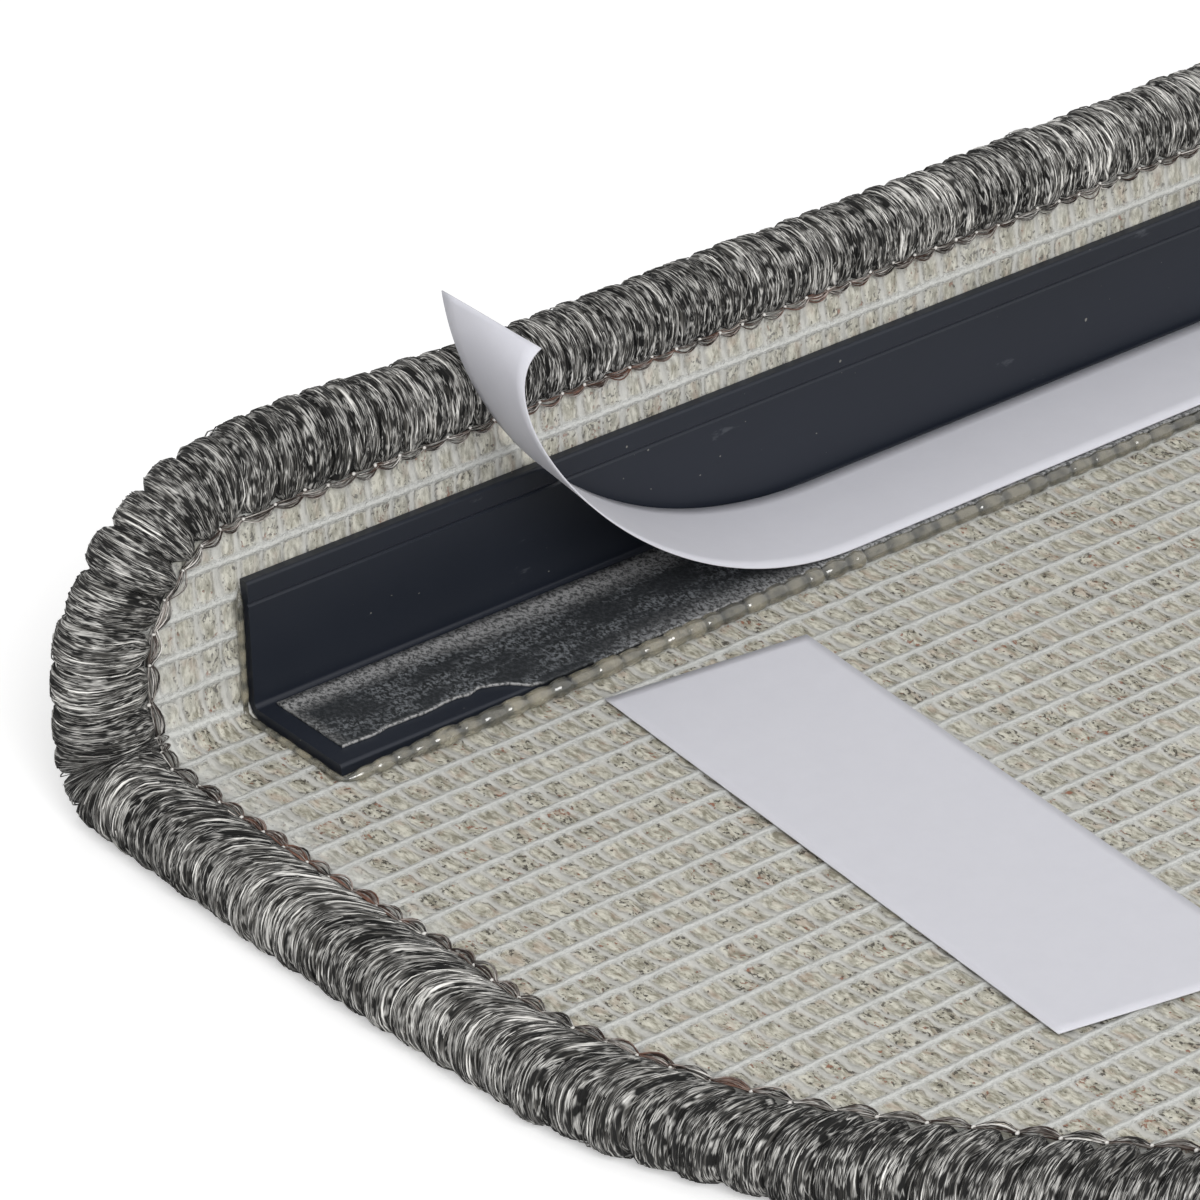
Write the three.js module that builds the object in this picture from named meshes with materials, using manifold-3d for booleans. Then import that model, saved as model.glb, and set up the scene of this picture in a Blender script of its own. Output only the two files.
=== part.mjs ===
// Half-moon stair tread mat, lying pile side down with its nosing flap folded up.
//
// A woven carpet with a latex backing is cut to a half oval, folded once along its
// straight side, and whipped all round with thick yarn. An L-shaped plastic profile
// is glued into the fold. Double-sided tape on the profile and on the backing holds
// the mat to a stair, and its release liners are still on, one of them half peeled.
//
// Millimetres, +Z up, +Y towards the flap. The origin is on the floor, at the middle
// of the mat's outline.

import * as THREE from 'three';
import { mergeVertices } from 'three/addons/utils/BufferGeometryUtils.js';
import Module from 'manifold-3d';

// Mat
const MAT_LENGTH = 650;
const MAT_DEPTH = 235;
const CARPET_THICKNESS = 7;
const FLAP_HEIGHT = 38;
const FLAP_CORNER_RADIUS = 22;
const SIDE_STRAIGHT = 48;
const FOLD_RADIUS = 2;

// Woven backing: raised warp yarns run along the mat
const WARP_PITCH = 4.5;
const WARP_CREST = 1.4;
const WARP_FOOT = 2.4;
const WARP_HEIGHT = 0.5;

// Whipped edge
const EDGE_WIDTH = 9.3;
const FLAP_TOP_SHARE = 0.74;
const EDGE_PROUD = 0.8;
const EDGE_CORNER = 2.6;
const LOBE_PITCH = 8;
const LOBE_DEPTH = 0.7;
const TONGUE_INSET = 3.4;
const TONGUE_TOP = 1.6;
const TONGUE_THICKNESS = 3.6;

// Chain stitch at the inner side of the whipped edge
const STITCHES_PER_LOBE = 2;
const STITCH_WIDTH = 1.8;
const STITCH_HEIGHT = 1;
const STITCH_WAIST = 0.55;

// L-shaped profile in the fold
const PROFILE_END_INSET = 22;
const PROFILE_WALL = 1.3;
const PROFILE_BARE_ABOVE = 6.1;
const PROFILE_TREAD = 15.5;
const PROFILE_OUTER_RADIUS = 2.7;
const PROFILE_INNER_RADIUS = 0.6;
const PROFILE_TIP_RADIUS = 0.4;
const PROFILE_LINE_DROP = 2.7;
const PROFILE_LINE_WIDTH = 0.5;
const PROFILE_LINE_DEPTH = 0.25;

// Glue bead round the profile's lower leg
const BEAD_WIDTH = 1.5;
const BEAD_HEIGHT = 1.1;
const BEAD_ROUNDING = 0.35;
const BEAD_RETURN = 11;

// Tape and liner on the profile
const TAPE_THICKNESS = 0.3;
const LINER_THICKNESS = 0.3;
const PROFILE_TAPE_END_GAP = 2.2;
const PROFILE_TAPE_MARGIN = 0.3;
const TORN_LENGTH = 20;
const TORN_STRIP = 2.4;
const TORN_SLANT = 3;
const LINER_WIDTH = 15;
const PEEL_START = 76;
const PEEL_REACH = 27;
const PEEL_HEIGHT = 40;
const PEEL_FLAT_PULL = 33;
const PEEL_TIP_PULL = 16;

// Two short strips of tape on the backing
const STRIP_WIDTH = 25;
const STRIP_LENGTH = 80;
const STRIP_ANGLE = 4.3;
const STRIP_SKEW = 1.6;
const STRIP_FROM_PROFILE_END = 39.5;
const STRIP_FROM_FOLD = 63;

// Clearance between pieces that touch
const GAP = 0.3;

// Facets
const FOLD_STEPS = 5;
const FRONT_STEPS = 56;
const CORNER_STEPS = 6;
const PEEL_STEPS = 22;
const BEAD_BEVEL_STEPS = 2;

const HALF_LENGTH = MAT_LENGTH / 2;
const FRONT_Y = -MAT_DEPTH / 2;
const BACKING_Z = CARPET_THICKNESS;
const BACKING_Y = MAT_DEPTH / 2 - CARPET_THICKNESS;
const FOLD_Y = BACKING_Y - FOLD_RADIUS;
const FOLD_Z = BACKING_Z + FOLD_RADIUS;
const SIDE_FRONT_Y = BACKING_Y - PROFILE_WALL - SIDE_STRAIGHT;
const FRONT_DEPTH = SIDE_FRONT_Y - FRONT_Y;
const LEG_Z = BACKING_Z + PROFILE_WALL;
const LEG_Y = BACKING_Y - PROFILE_WALL;
const LEG_FRONT_Y = LEG_Y - PROFILE_TREAD;
const PROFILE_HALF = HALF_LENGTH - PROFILE_END_INSET;
const SEAM_INSET = EDGE_WIDTH + GAP + STITCH_WIDTH;
const PROFILE_TOP_Z = FLAP_HEIGHT - FLAP_TOP_SHARE * SEAM_INSET - PROFILE_BARE_ABOVE;
const QUARTER = Math.PI / 2;

const COLOURS = {
  carpet: 0xc9c7ba,
  edging: 0x6c6b69,
  thread: 0x77706b,
  profile: 0x2b2f34,
  glue: 0xb8b29c,
  tape: 0x5a5f66,
  liner: 0xcfcfd6,
};

// Every point of the mat is given by its place on the outline, how far in from the
// edge it is, and how deep below the backing it is. A station is one place on the
// outline, as a function of that inset and depth. The whipping is narrower along the
// flap's top, so insets count for less upwards there.

function flapTop(x) {
  const topZ = (inset) => FLAP_HEIGHT - FLAP_TOP_SHARE * inset;
  return (inset, depth) => new THREE.Vector3(x, BACKING_Y + depth, topZ(inset));
}

function flapCorner(side, angle) {
  const centreX = side * (HALF_LENGTH - FLAP_CORNER_RADIUS);
  const centreZ = FLAP_HEIGHT - FLAP_CORNER_RADIUS;
  return (inset, depth) => {
    const x = centreX + side * (FLAP_CORNER_RADIUS - inset) * Math.cos(angle);
    const z = centreZ + (FLAP_CORNER_RADIUS - FLAP_TOP_SHARE * inset) * Math.sin(angle);
    return new THREE.Vector3(x, BACKING_Y + depth, z);
  };
}

function flapSide(side, z) {
  return (inset, depth) => new THREE.Vector3(side * (HALF_LENGTH - inset), BACKING_Y + depth, z);
}

function foldSide(side, angle) {
  return (inset, depth) => {
    const radius = FOLD_RADIUS + depth;
    const y = FOLD_Y + radius * Math.sin(angle);
    const z = FOLD_Z - radius * Math.cos(angle);
    return new THREE.Vector3(side * (HALF_LENGTH - inset), y, z);
  };
}

function baseSide(side, y) {
  return (inset, depth) => new THREE.Vector3(side * (HALF_LENGTH - inset), y, BACKING_Z - depth);
}

function frontCurve(angle) {
  return (inset, depth) => {
    const x = (HALF_LENGTH - inset) * Math.cos(angle);
    const y = SIDE_FRONT_Y - (FRONT_DEPTH - inset) * Math.sin(angle);
    return new THREE.Vector3(x, y, BACKING_Z - depth);
  };
}

// Angles on the front half ellipse that are evenly spaced along its edge.
function frontAngles(count) {
  const ellipse = new THREE.EllipseCurve(0, 0, HALF_LENGTH, FRONT_DEPTH, 0, Math.PI);
  ellipse.arcLengthDivisions = 1200;
  const angles = [];
  for (let i = 0; i < count; i += 1) {
    angles.push(Math.PI * ellipse.getUtoTmapping(i / count));
  }
  return angles;
}

function spaced(start, end, count) {
  const values = [];
  for (let i = 0; i < count; i += 1) {
    values.push(start + ((end - start) * i) / count);
  }
  return values;
}

// Stations all round the edge, with a whole number of lobes on each stretch.
function edgeStations(perLobe) {
  const lobes = (length) => perLobe * Math.max(1, Math.round(length / LOBE_PITCH));
  const topHalf = HALF_LENGTH - FLAP_CORNER_RADIUS;
  const cornerLength = QUARTER * FLAP_CORNER_RADIUS;
  const cornerZ = FLAP_HEIGHT - FLAP_CORNER_RADIUS;
  const foldLength = QUARTER * (FOLD_RADIUS + CARPET_THICKNESS);
  const sideLength = FOLD_Y - SIDE_FRONT_Y;
  const frontLength = new THREE.EllipseCurve(0, 0, HALF_LENGTH, FRONT_DEPTH, 0, Math.PI).getLength();

  const top = spaced(-topHalf, topHalf, lobes(2 * topHalf)).map((x) => flapTop(x));
  const corner = spaced(QUARTER, 0, lobes(cornerLength));
  const flap = spaced(cornerZ, FOLD_Z, lobes(cornerZ - FOLD_Z));
  const fold = spaced(QUARTER, 0, lobes(foldLength));
  const side = spaced(FOLD_Y, SIDE_FRONT_Y, lobes(sideLength));
  const front = frontAngles(lobes(frontLength)).map((angle) => frontCurve(angle));
  const sideBack = spaced(SIDE_FRONT_Y, FOLD_Y, lobes(sideLength));
  const foldBack = spaced(0, QUARTER, lobes(foldLength));
  const flapBack = spaced(FOLD_Z, cornerZ, lobes(cornerZ - FOLD_Z));
  const cornerBack = spaced(0, QUARTER, lobes(cornerLength));
  return [
    ...top,
    ...corner.map((angle) => flapCorner(1, angle)),
    ...flap.map((z) => flapSide(1, z)),
    ...fold.map((angle) => foldSide(1, angle)),
    ...side.map((y) => baseSide(1, y)),
    ...front,
    ...sideBack.map((y) => baseSide(-1, y)),
    ...foldBack.map((angle) => foldSide(-1, angle)),
    ...flapBack.map((z) => flapSide(-1, z)),
    ...cornerBack.map((angle) => flapCorner(-1, angle)),
  ];
}

// A closed tube round the edge. Each station carries one ring of section points,
// given as [inset, depth] pairs in the same order all the way.
function edgeTube(stations, sectionAt) {
  const positions = [];
  const indices = [];
  const count = sectionAt(0).length;
  stations.forEach((station, i) => {
    sectionAt(i).forEach(([inset, depth]) => positions.push(...station(inset, depth).toArray()));
  });
  for (let i = 0; i < stations.length; i += 1) {
    const here = i * count;
    const next = ((i + 1) % stations.length) * count;
    for (let j = 0; j < count; j += 1) {
      const k = (j + 1) % count;
      indices.push(here + j, next + j, next + k, here + j, next + k, here + k);
    }
  }
  const geometry = new THREE.BufferGeometry();
  geometry.setAttribute('position', new THREE.Float32BufferAttribute(positions, 3));
  geometry.setIndex(indices);
  return geometry;
}

// Section of the whipping: a rounded band round the carpet's tongue, open inwards.
// Its outer skin sinks by the given amount between two lobes.
function edgingSection(sink) {
  const top = -EDGE_PROUD + sink;
  const bottom = CARPET_THICKNESS - sink;
  const middle = (CARPET_THICKNESS - EDGE_PROUD) / 2;
  const slotTop = TONGUE_TOP - GAP;
  const slotBottom = TONGUE_TOP + TONGUE_THICKNESS + GAP;
  const slotEnd = TONGUE_INSET - GAP;
  return [
    [EDGE_WIDTH, 0],
    [EDGE_WIDTH - EDGE_CORNER / 2, top],
    [EDGE_CORNER + sink, top],
    [sink, middle - EDGE_CORNER / 2],
    [sink, middle + EDGE_CORNER / 2],
    [EDGE_CORNER + sink, bottom],
    [EDGE_WIDTH, bottom],
    [EDGE_WIDTH, slotBottom],
    [slotEnd, slotBottom],
    [slotEnd, slotTop],
    [EDGE_WIDTH, slotTop],
  ];
}

function edgeWhipping() {
  const crest = edgingSection(0);
  const valley = edgingSection(LOBE_DEPTH);
  return edgeTube(edgeStations(2), (i) => (i % 2 ? crest : valley));
}

// The chain stitch is a flat cord that swells at each loop.
function chainStitch() {
  const inset = EDGE_WIDTH + GAP + STITCH_WIDTH / 2;
  const depth = -GAP - STITCH_HEIGHT / 2;
  const section = (share) => [
    [inset - (share * STITCH_WIDTH) / 2, depth],
    [inset, depth + STITCH_HEIGHT / 2],
    [inset + (share * STITCH_WIDTH) / 2, depth],
    [inset, depth - (share * STITCH_HEIGHT) / 2],
  ];
  const loop = section(1);
  const waist = section(STITCH_WAIST);
  return edgeTube(edgeStations(STITCHES_PER_LOBE), (i) => (i % 2 ? loop : waist));
}

// Turns a flat shape drawn in Y and Z into a solid along X, from the left to the right.
function alongX(shape, length, curveSegments) {
  const geometry = new THREE.ExtrudeGeometry(shape, {
    depth: length,
    bevelEnabled: false,
    curveSegments,
  });
  const across = new THREE.Vector3(0, 1, 0);
  const up = new THREE.Vector3(0, 0, 1);
  const along = new THREE.Vector3(1, 0, 0);
  geometry.applyMatrix4(new THREE.Matrix4().makeBasis(across, up, along));
  geometry.translate(-length / 2, 0, 0);
  return geometry;
}

// Turns a flat shape drawn in X and Z into a solid along Y, from backY towards the front.
function alongY(shape, depth, backY) {
  const geometry = new THREE.ExtrudeGeometry(shape, { depth, bevelEnabled: false });
  const along = new THREE.Vector3(1, 0, 0);
  const up = new THREE.Vector3(0, 0, 1);
  const forward = new THREE.Vector3(0, -1, 0);
  geometry.applyMatrix4(new THREE.Matrix4().makeBasis(along, up, forward));
  geometry.translate(0, backY, 0);
  return geometry;
}

// Folded section of the carpet between two depths, drawn in Y and Z. With ridges, the
// backing side has the raised warp yarns.
function foldedSection(topDepth, bottomDepth, ridges) {
  const outer = FOLD_RADIUS + bottomDepth;
  const inner = FOLD_RADIUS + topDepth;
  const shape = new THREE.Shape();
  shape.moveTo(FRONT_Y, BACKING_Z - bottomDepth);
  shape.lineTo(FOLD_Y, BACKING_Z - bottomDepth);
  shape.absarc(FOLD_Y, FOLD_Z, outer, -QUARTER, 0, false);
  shape.lineTo(BACKING_Y + bottomDepth, FLAP_HEIGHT);
  shape.lineTo(BACKING_Y + topDepth, FLAP_HEIGHT);
  if (ridges) {
    flapRidges(topDepth).forEach(([y, z]) => shape.lineTo(y, z));
  }
  shape.lineTo(BACKING_Y + topDepth, FOLD_Z);
  shape.absarc(FOLD_Y, FOLD_Z, inner, 0, -QUARTER, true);
  if (ridges) {
    baseRidges(topDepth).forEach(([y, z]) => shape.lineTo(y, z));
  }
  shape.lineTo(FRONT_Y, BACKING_Z - topDepth);
  return shape;
}

// The four points of one warp ridge, from the side nearer the fold to the other.
function ridge(centre, floor) {
  return [
    [centre - WARP_FOOT / 2, floor],
    [centre - WARP_CREST / 2, floor - WARP_HEIGHT],
    [centre + WARP_CREST / 2, floor - WARP_HEIGHT],
    [centre + WARP_FOOT / 2, floor],
  ];
}

function ridgeCentres(length) {
  const centres = [];
  for (let at = WARP_PITCH / 2; at < length - WARP_PITCH / 2; at += WARP_PITCH) {
    centres.push(at);
  }
  return centres;
}

function flapRidges(depth) {
  const centres = ridgeCentres(FLAP_HEIGHT - FOLD_Z).reverse();
  return centres.flatMap((at) =>
    ridge(at, depth).reverse().map(([v, d]) => [BACKING_Y + d, FOLD_Z + v]),
  );
}

function baseRidges(depth) {
  return ridgeCentres(FOLD_Y - FRONT_Y).flatMap((at) =>
    ridge(at, depth).map(([v, d]) => [FOLD_Y - v, BACKING_Z - d]),
  );
}

// Plan of the mat at a given inset, carried on behind the flap.
function planShape(inset) {
  const behind = MAT_DEPTH / 2 + CARPET_THICKNESS;
  const shape = new THREE.Shape();
  frontAngles(FRONT_STEPS).concat(Math.PI).reverse().forEach((angle, i) => {
    const point = frontCurve(angle)(inset, 0);
    if (i === 0) {
      shape.moveTo(-(HALF_LENGTH - inset), behind);
    }
    shape.lineTo(point.x, point.y);
  });
  shape.lineTo(HALF_LENGTH - inset, behind);
  return shape;
}

// Front view of the flap at a given inset, carried on below the floor.
function flapShape(inset) {
  const side = HALF_LENGTH - inset;
  const shape = new THREE.Shape();
  shape.moveTo(-side, -CARPET_THICKNESS);
  shape.lineTo(side, -CARPET_THICKNESS);
  for (let i = 0; i <= CORNER_STEPS; i += 1) {
    const point = flapCorner(1, (QUARTER * i) / CORNER_STEPS)(inset, 0);
    shape.lineTo(point.x, point.z);
  }
  for (let i = CORNER_STEPS; i >= 0; i -= 1) {
    const point = flapCorner(-1, (QUARTER * i) / CORNER_STEPS)(inset, 0);
    shape.lineTo(point.x, point.z);
  }
  return shape;
}

// Booleans
const wasm = await Module();
wasm.setup();

function toSolid(geometry) {
  const bare = geometry.clone();
  bare.deleteAttribute('normal');
  bare.deleteAttribute('uv');
  const merged = mergeVertices(bare, 1e-4);
  const mesh = new wasm.Mesh({
    numProp: 3,
    vertProperties: new Float32Array(merged.attributes.position.array),
    triVerts: new Uint32Array(merged.index.array),
  });
  return new wasm.Manifold(mesh);
}

function toGeometry(solid) {
  const mesh = solid.getMesh();
  const geometry = new THREE.BufferGeometry();
  geometry.setAttribute('position', new THREE.BufferAttribute(mesh.vertProperties, 3));
  geometry.setIndex(new THREE.BufferAttribute(mesh.triVerts, 1));
  return geometry;
}

// One layer of the carpet: its folded section, cut to the mat's plan and to the
// flap's rounded corners.
function carpetLayer(topDepth, bottomDepth, inset, ridges) {
  const section = foldedSection(topDepth, bottomDepth, ridges);
  const folded = toSolid(alongX(section, MAT_LENGTH, FOLD_STEPS));
  const tall = FLAP_HEIGHT + CARPET_THICKNESS;
  const planPrism = new THREE.ExtrudeGeometry(planShape(inset), { depth: 2 * tall, bevelEnabled: false });
  planPrism.translate(0, 0, -tall);
  const deep = 2 * MAT_DEPTH;
  const flapPrism = alongY(flapShape(inset), deep, MAT_DEPTH);
  return folded.intersect(toSolid(planPrism)).intersect(toSolid(flapPrism));
}

// The carpet ends as a thinner tongue inside the whipping.
function carpet() {
  const body = carpetLayer(WARP_HEIGHT, CARPET_THICKNESS, EDGE_WIDTH + GAP, true);
  const tongueBottom = TONGUE_TOP + TONGUE_THICKNESS;
  const tongue = carpetLayer(TONGUE_TOP, tongueBottom, TONGUE_INSET, false);
  return toGeometry(body.add(tongue));
}

// L-shaped profile, with the fine moulded line along its upright leg.
function nosingProfile() {
  const topZ = PROFILE_TOP_Z;
  const lineZ = topZ - PROFILE_LINE_DROP;
  const backY = BACKING_Y;
  const bottomZ = BACKING_Z;
  const shape = new THREE.Shape();
  shape.moveTo(LEG_FRONT_Y, bottomZ);
  shape.lineTo(backY - PROFILE_OUTER_RADIUS, bottomZ);
  shape.absarc(
    backY - PROFILE_OUTER_RADIUS,
    bottomZ + PROFILE_OUTER_RADIUS,
    PROFILE_OUTER_RADIUS,
    -QUARTER,
    0,
    false,
  );
  shape.lineTo(backY, topZ);
  shape.lineTo(LEG_Y + PROFILE_TIP_RADIUS, topZ);
  shape.absarc(LEG_Y + PROFILE_TIP_RADIUS, topZ - PROFILE_TIP_RADIUS, PROFILE_TIP_RADIUS, QUARTER, Math.PI, false);
  shape.lineTo(LEG_Y, lineZ + PROFILE_LINE_WIDTH / 2);
  shape.lineTo(LEG_Y + PROFILE_LINE_DEPTH, lineZ);
  shape.lineTo(LEG_Y, lineZ - PROFILE_LINE_WIDTH / 2);
  shape.lineTo(LEG_Y, LEG_Z + PROFILE_INNER_RADIUS);
  shape.absarc(
    LEG_Y - PROFILE_INNER_RADIUS,
    LEG_Z + PROFILE_INNER_RADIUS,
    PROFILE_INNER_RADIUS,
    0,
    -QUARTER,
    true,
  );
  shape.lineTo(LEG_FRONT_Y + PROFILE_TIP_RADIUS, LEG_Z);
  shape.absarc(
    LEG_FRONT_Y + PROFILE_TIP_RADIUS,
    LEG_Z - PROFILE_TIP_RADIUS,
    PROFILE_TIP_RADIUS,
    QUARTER,
    Math.PI,
    false,
  );
  return alongX(shape, 2 * PROFILE_HALF, FOLD_STEPS);
}

// Hot glue squeezed out along the lower leg's front edge and round its two ends.
function profileGlue() {
  const innerX = PROFILE_HALF + GAP + BEAD_ROUNDING;
  const outerX = PROFILE_HALF + GAP + BEAD_WIDTH - BEAD_ROUNDING;
  const innerY = LEG_FRONT_Y - GAP - BEAD_ROUNDING;
  const outerY = LEG_FRONT_Y - GAP - BEAD_WIDTH + BEAD_ROUNDING;
  const returnY = LEG_FRONT_Y + BEAD_RETURN;
  const shape = new THREE.Shape();
  shape.moveTo(-outerX, returnY);
  shape.lineTo(-outerX, outerY);
  shape.lineTo(outerX, outerY);
  shape.lineTo(outerX, returnY);
  shape.lineTo(innerX, returnY);
  shape.lineTo(innerX, innerY);
  shape.lineTo(-innerX, innerY);
  shape.lineTo(-innerX, returnY);
  const geometry = new THREE.ExtrudeGeometry(shape, {
    depth: BEAD_HEIGHT - 2 * BEAD_ROUNDING,
    bevelEnabled: true,
    bevelThickness: BEAD_ROUNDING,
    bevelSize: BEAD_ROUNDING,
    bevelSegments: BEAD_BEVEL_STEPS,
  });
  geometry.translate(0, 0, BACKING_Z + BEAD_ROUNDING);
  return geometry;
}

function flatPiece(shape, thickness, bottomZ) {
  const geometry = new THREE.ExtrudeGeometry(shape, { depth: thickness, bevelEnabled: false });
  geometry.translate(0, 0, bottomZ);
  return geometry;
}

// Tape on the profile's lower leg. Its front edge is torn away at the peeled end.
function profileTape() {
  const backY = LEG_Y - PROFILE_INNER_RADIUS - PROFILE_TAPE_MARGIN;
  const frontY = LEG_FRONT_Y + PROFILE_TIP_RADIUS;
  const left = -PROFILE_HALF + PROFILE_TAPE_END_GAP;
  const right = PROFILE_HALF - PROFILE_TAPE_END_GAP;
  const shape = new THREE.Shape();
  shape.moveTo(left, backY);
  shape.lineTo(left, frontY + TORN_STRIP);
  shape.lineTo(left + TORN_LENGTH, frontY + TORN_STRIP);
  shape.lineTo(left + TORN_LENGTH + TORN_SLANT, frontY);
  shape.lineTo(right, frontY);
  shape.lineTo(right, backY);
  return flatPiece(shape, TAPE_THICKNESS, LEG_Z);
}

// Release liner of that tape: flat from the right end, then curling up and over.
function profileLiner() {
  const bottomZ = LEG_Z + TAPE_THICKNESS;
  const start = -PROFILE_HALF + PEEL_START;
  const tipX = -PROFILE_HALF + PEEL_REACH;
  const tipZ = bottomZ + PEEL_HEIGHT;
  const curl = new THREE.CubicBezierCurve(
    new THREE.Vector2(start, bottomZ),
    new THREE.Vector2(start - PEEL_FLAT_PULL, bottomZ),
    new THREE.Vector2(tipX, tipZ - PEEL_TIP_PULL),
    new THREE.Vector2(tipX, tipZ),
  );
  const under = [];
  const over = [];
  for (let i = 0; i <= PEEL_STEPS; i += 1) {
    const point = curl.getPointAt(i / PEEL_STEPS);
    const tangent = curl.getTangentAt(i / PEEL_STEPS);
    under.push(point);
    over.push(new THREE.Vector2(point.x + tangent.y * LINER_THICKNESS, point.y - tangent.x * LINER_THICKNESS));
  }
  const right = PROFILE_HALF - PROFILE_TAPE_END_GAP;
  const shape = new THREE.Shape();
  shape.moveTo(right, bottomZ);
  shape.lineTo(right, bottomZ + LINER_THICKNESS);
  over.forEach((point) => shape.lineTo(point.x, point.y));
  under.reverse().forEach((point) => shape.lineTo(point.x, point.y));
  const backY = LEG_Y - PROFILE_INNER_RADIUS;
  return alongY(shape, LINER_WIDTH, backY);
}

// Outline of one short strip, cut a little askew. side is -1 on the left.
function stripShape(side) {
  const halfWidth = STRIP_WIDTH / 2;
  const halfLength = STRIP_LENGTH / 2;
  const shape = new THREE.Shape();
  const corners = [
    [-halfWidth, halfLength + STRIP_SKEW / 2],
    [-halfWidth, -halfLength + STRIP_SKEW],
    [halfWidth, -halfLength - STRIP_SKEW],
    [halfWidth, halfLength - STRIP_SKEW / 2],
  ];
  const centre = new THREE.Vector2(
    side * (PROFILE_HALF - STRIP_FROM_PROFILE_END),
    LEG_Y - STRIP_FROM_FOLD,
  );
  const turn = THREE.MathUtils.degToRad(side * STRIP_ANGLE);
  corners.forEach(([x, y], i) => {
    const point = new THREE.Vector2(-side * x, y).rotateAround(new THREE.Vector2(), turn).add(centre);
    if (i === 0) {
      shape.moveTo(point.x, point.y);
    } else {
      shape.lineTo(point.x, point.y);
    }
  });
  return shape;
}

const group = new THREE.Group();

function add(name, geometry, colour, roughness) {
  const material = new THREE.MeshStandardMaterial({ color: colour, roughness, metalness: 0 });
  const mesh = new THREE.Mesh(geometry, material);
  mesh.name = name;
  group.add(mesh);
}

add('carpet', carpet(), COLOURS.carpet, 0.95);
add('edge_whipping', edgeWhipping(), COLOURS.edging, 0.8);
add('chain_stitch', chainStitch(), COLOURS.thread, 0.8);
add('nosing_profile', nosingProfile(), COLOURS.profile, 0.45);
add('profile_glue', profileGlue(), COLOURS.glue, 0.2);
add('profile_tape', profileTape(), COLOURS.tape, 0.85);
add('profile_liner', profileLiner(), COLOURS.liner, 0.6);
['left', 'right'].forEach((name, i) => {
  const outline = stripShape(2 * i - 1);
  add(`strip_tape_${name}`, flatPiece(outline, TAPE_THICKNESS, BACKING_Z), COLOURS.tape, 0.85);
  const linerZ = BACKING_Z + TAPE_THICKNESS;
  add(`strip_liner_${name}`, flatPiece(outline, LINER_THICKNESS, linerZ), COLOURS.liner, 0.6);
});

export default group;
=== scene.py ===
# %% [markdown]
# # A half-moon stair tread mat, seen from its glued side
# The mat is one piece of woven carpet, folded up along its straight side and whipped all
# round with thick yarn. It lies pile side down, so we look at its latexed backing, the
# plastic nosing profile in the fold, and the tapes with their release liners.
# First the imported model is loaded. It is the frame: every new piece is fitted to its
# boxes. Sizes in this file are millimetres, and become metres when a mesh is filled.

import math

import bpy
import numpy as np
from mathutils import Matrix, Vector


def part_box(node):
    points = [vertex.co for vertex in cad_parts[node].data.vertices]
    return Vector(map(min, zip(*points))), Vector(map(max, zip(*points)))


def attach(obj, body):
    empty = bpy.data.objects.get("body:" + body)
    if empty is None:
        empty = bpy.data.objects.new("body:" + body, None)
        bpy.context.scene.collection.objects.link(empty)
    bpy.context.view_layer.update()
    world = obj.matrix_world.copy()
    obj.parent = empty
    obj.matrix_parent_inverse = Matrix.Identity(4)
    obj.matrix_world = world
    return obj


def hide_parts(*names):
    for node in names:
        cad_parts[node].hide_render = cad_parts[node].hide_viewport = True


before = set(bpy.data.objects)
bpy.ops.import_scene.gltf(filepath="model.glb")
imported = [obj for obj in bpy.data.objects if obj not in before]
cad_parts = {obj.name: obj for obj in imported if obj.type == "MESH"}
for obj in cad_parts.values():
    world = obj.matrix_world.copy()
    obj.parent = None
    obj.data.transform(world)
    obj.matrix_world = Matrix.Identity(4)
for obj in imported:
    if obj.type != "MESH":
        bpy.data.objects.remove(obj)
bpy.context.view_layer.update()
MM = 0.001
QUARTER = math.pi / 2
rng = np.random.default_rng(11)
print("CAD nodes:", len(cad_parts))

# %% [markdown]
# ## The mat's main sizes
# The outline is a straight top edge on the flap, two rounded flap corners, the fold, two
# short straight sides and a half ellipse at the front. The boxes of the CAD nodes give
# the overall sizes, so only the radii and the straight side are written here.

# %% Sizes taken from the frame
def node_box(name):
    low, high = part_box(name)
    return np.array(low) / MM, np.array(high) / MM


edge_low, edge_high = node_box("edge_whipping")
profile_low, profile_high = node_box("nosing_profile")
tape_low, tape_high = node_box("profile_tape")

HALF_LENGTH = edge_high[0]
FLAP_HEIGHT = edge_high[2]
FRONT_Y = edge_low[1]
BACKING_Z = profile_low[2]
BACKING_Y = profile_high[1]
THICKNESS = BACKING_Z
FOLD_RADIUS = 2.0
CORNER_RADIUS = 22.0
FLAP_TOP_SHARE = 0.74
SIDE_STRAIGHT = 48.0
WALL = tape_low[2] - BACKING_Z
LEG_Y = BACKING_Y - WALL
LEG_Z = BACKING_Z + WALL
LEG_FRONT_Y = profile_low[1]
PROFILE_HALF = profile_high[0]
FOLD_Y = BACKING_Y - FOLD_RADIUS
FOLD_Z = BACKING_Z + FOLD_RADIUS
SIDE_FRONT_Y = LEG_Y - SIDE_STRAIGHT
FRONT_DEPTH = SIDE_FRONT_Y - FRONT_Y
print("mat", 2 * HALF_LENGTH, "by", BACKING_Y + THICKNESS - FRONT_Y, "mm, flap", FLAP_HEIGHT)

# %% [markdown]
# ## Places along the edge
# The whipping, its chain stitch and the cut edge all follow the same outline. A place on
# it is given by the way along the edge from the flap's middle, how far in from the edge,
# and how deep below the backing. One function turns these three into a point, so yarn
# can be laid out flat and still go round the corners and through the fold. The whipping
# is narrower along the flap's top, so an inset counts for less upwards there. It is
# sewn by hand along a cut line, so its outer side and its seam wander by a millimetre
# or two. Past the ends of the profile nothing holds the fold tight, and it relaxes into
# a wider bend.

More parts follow.
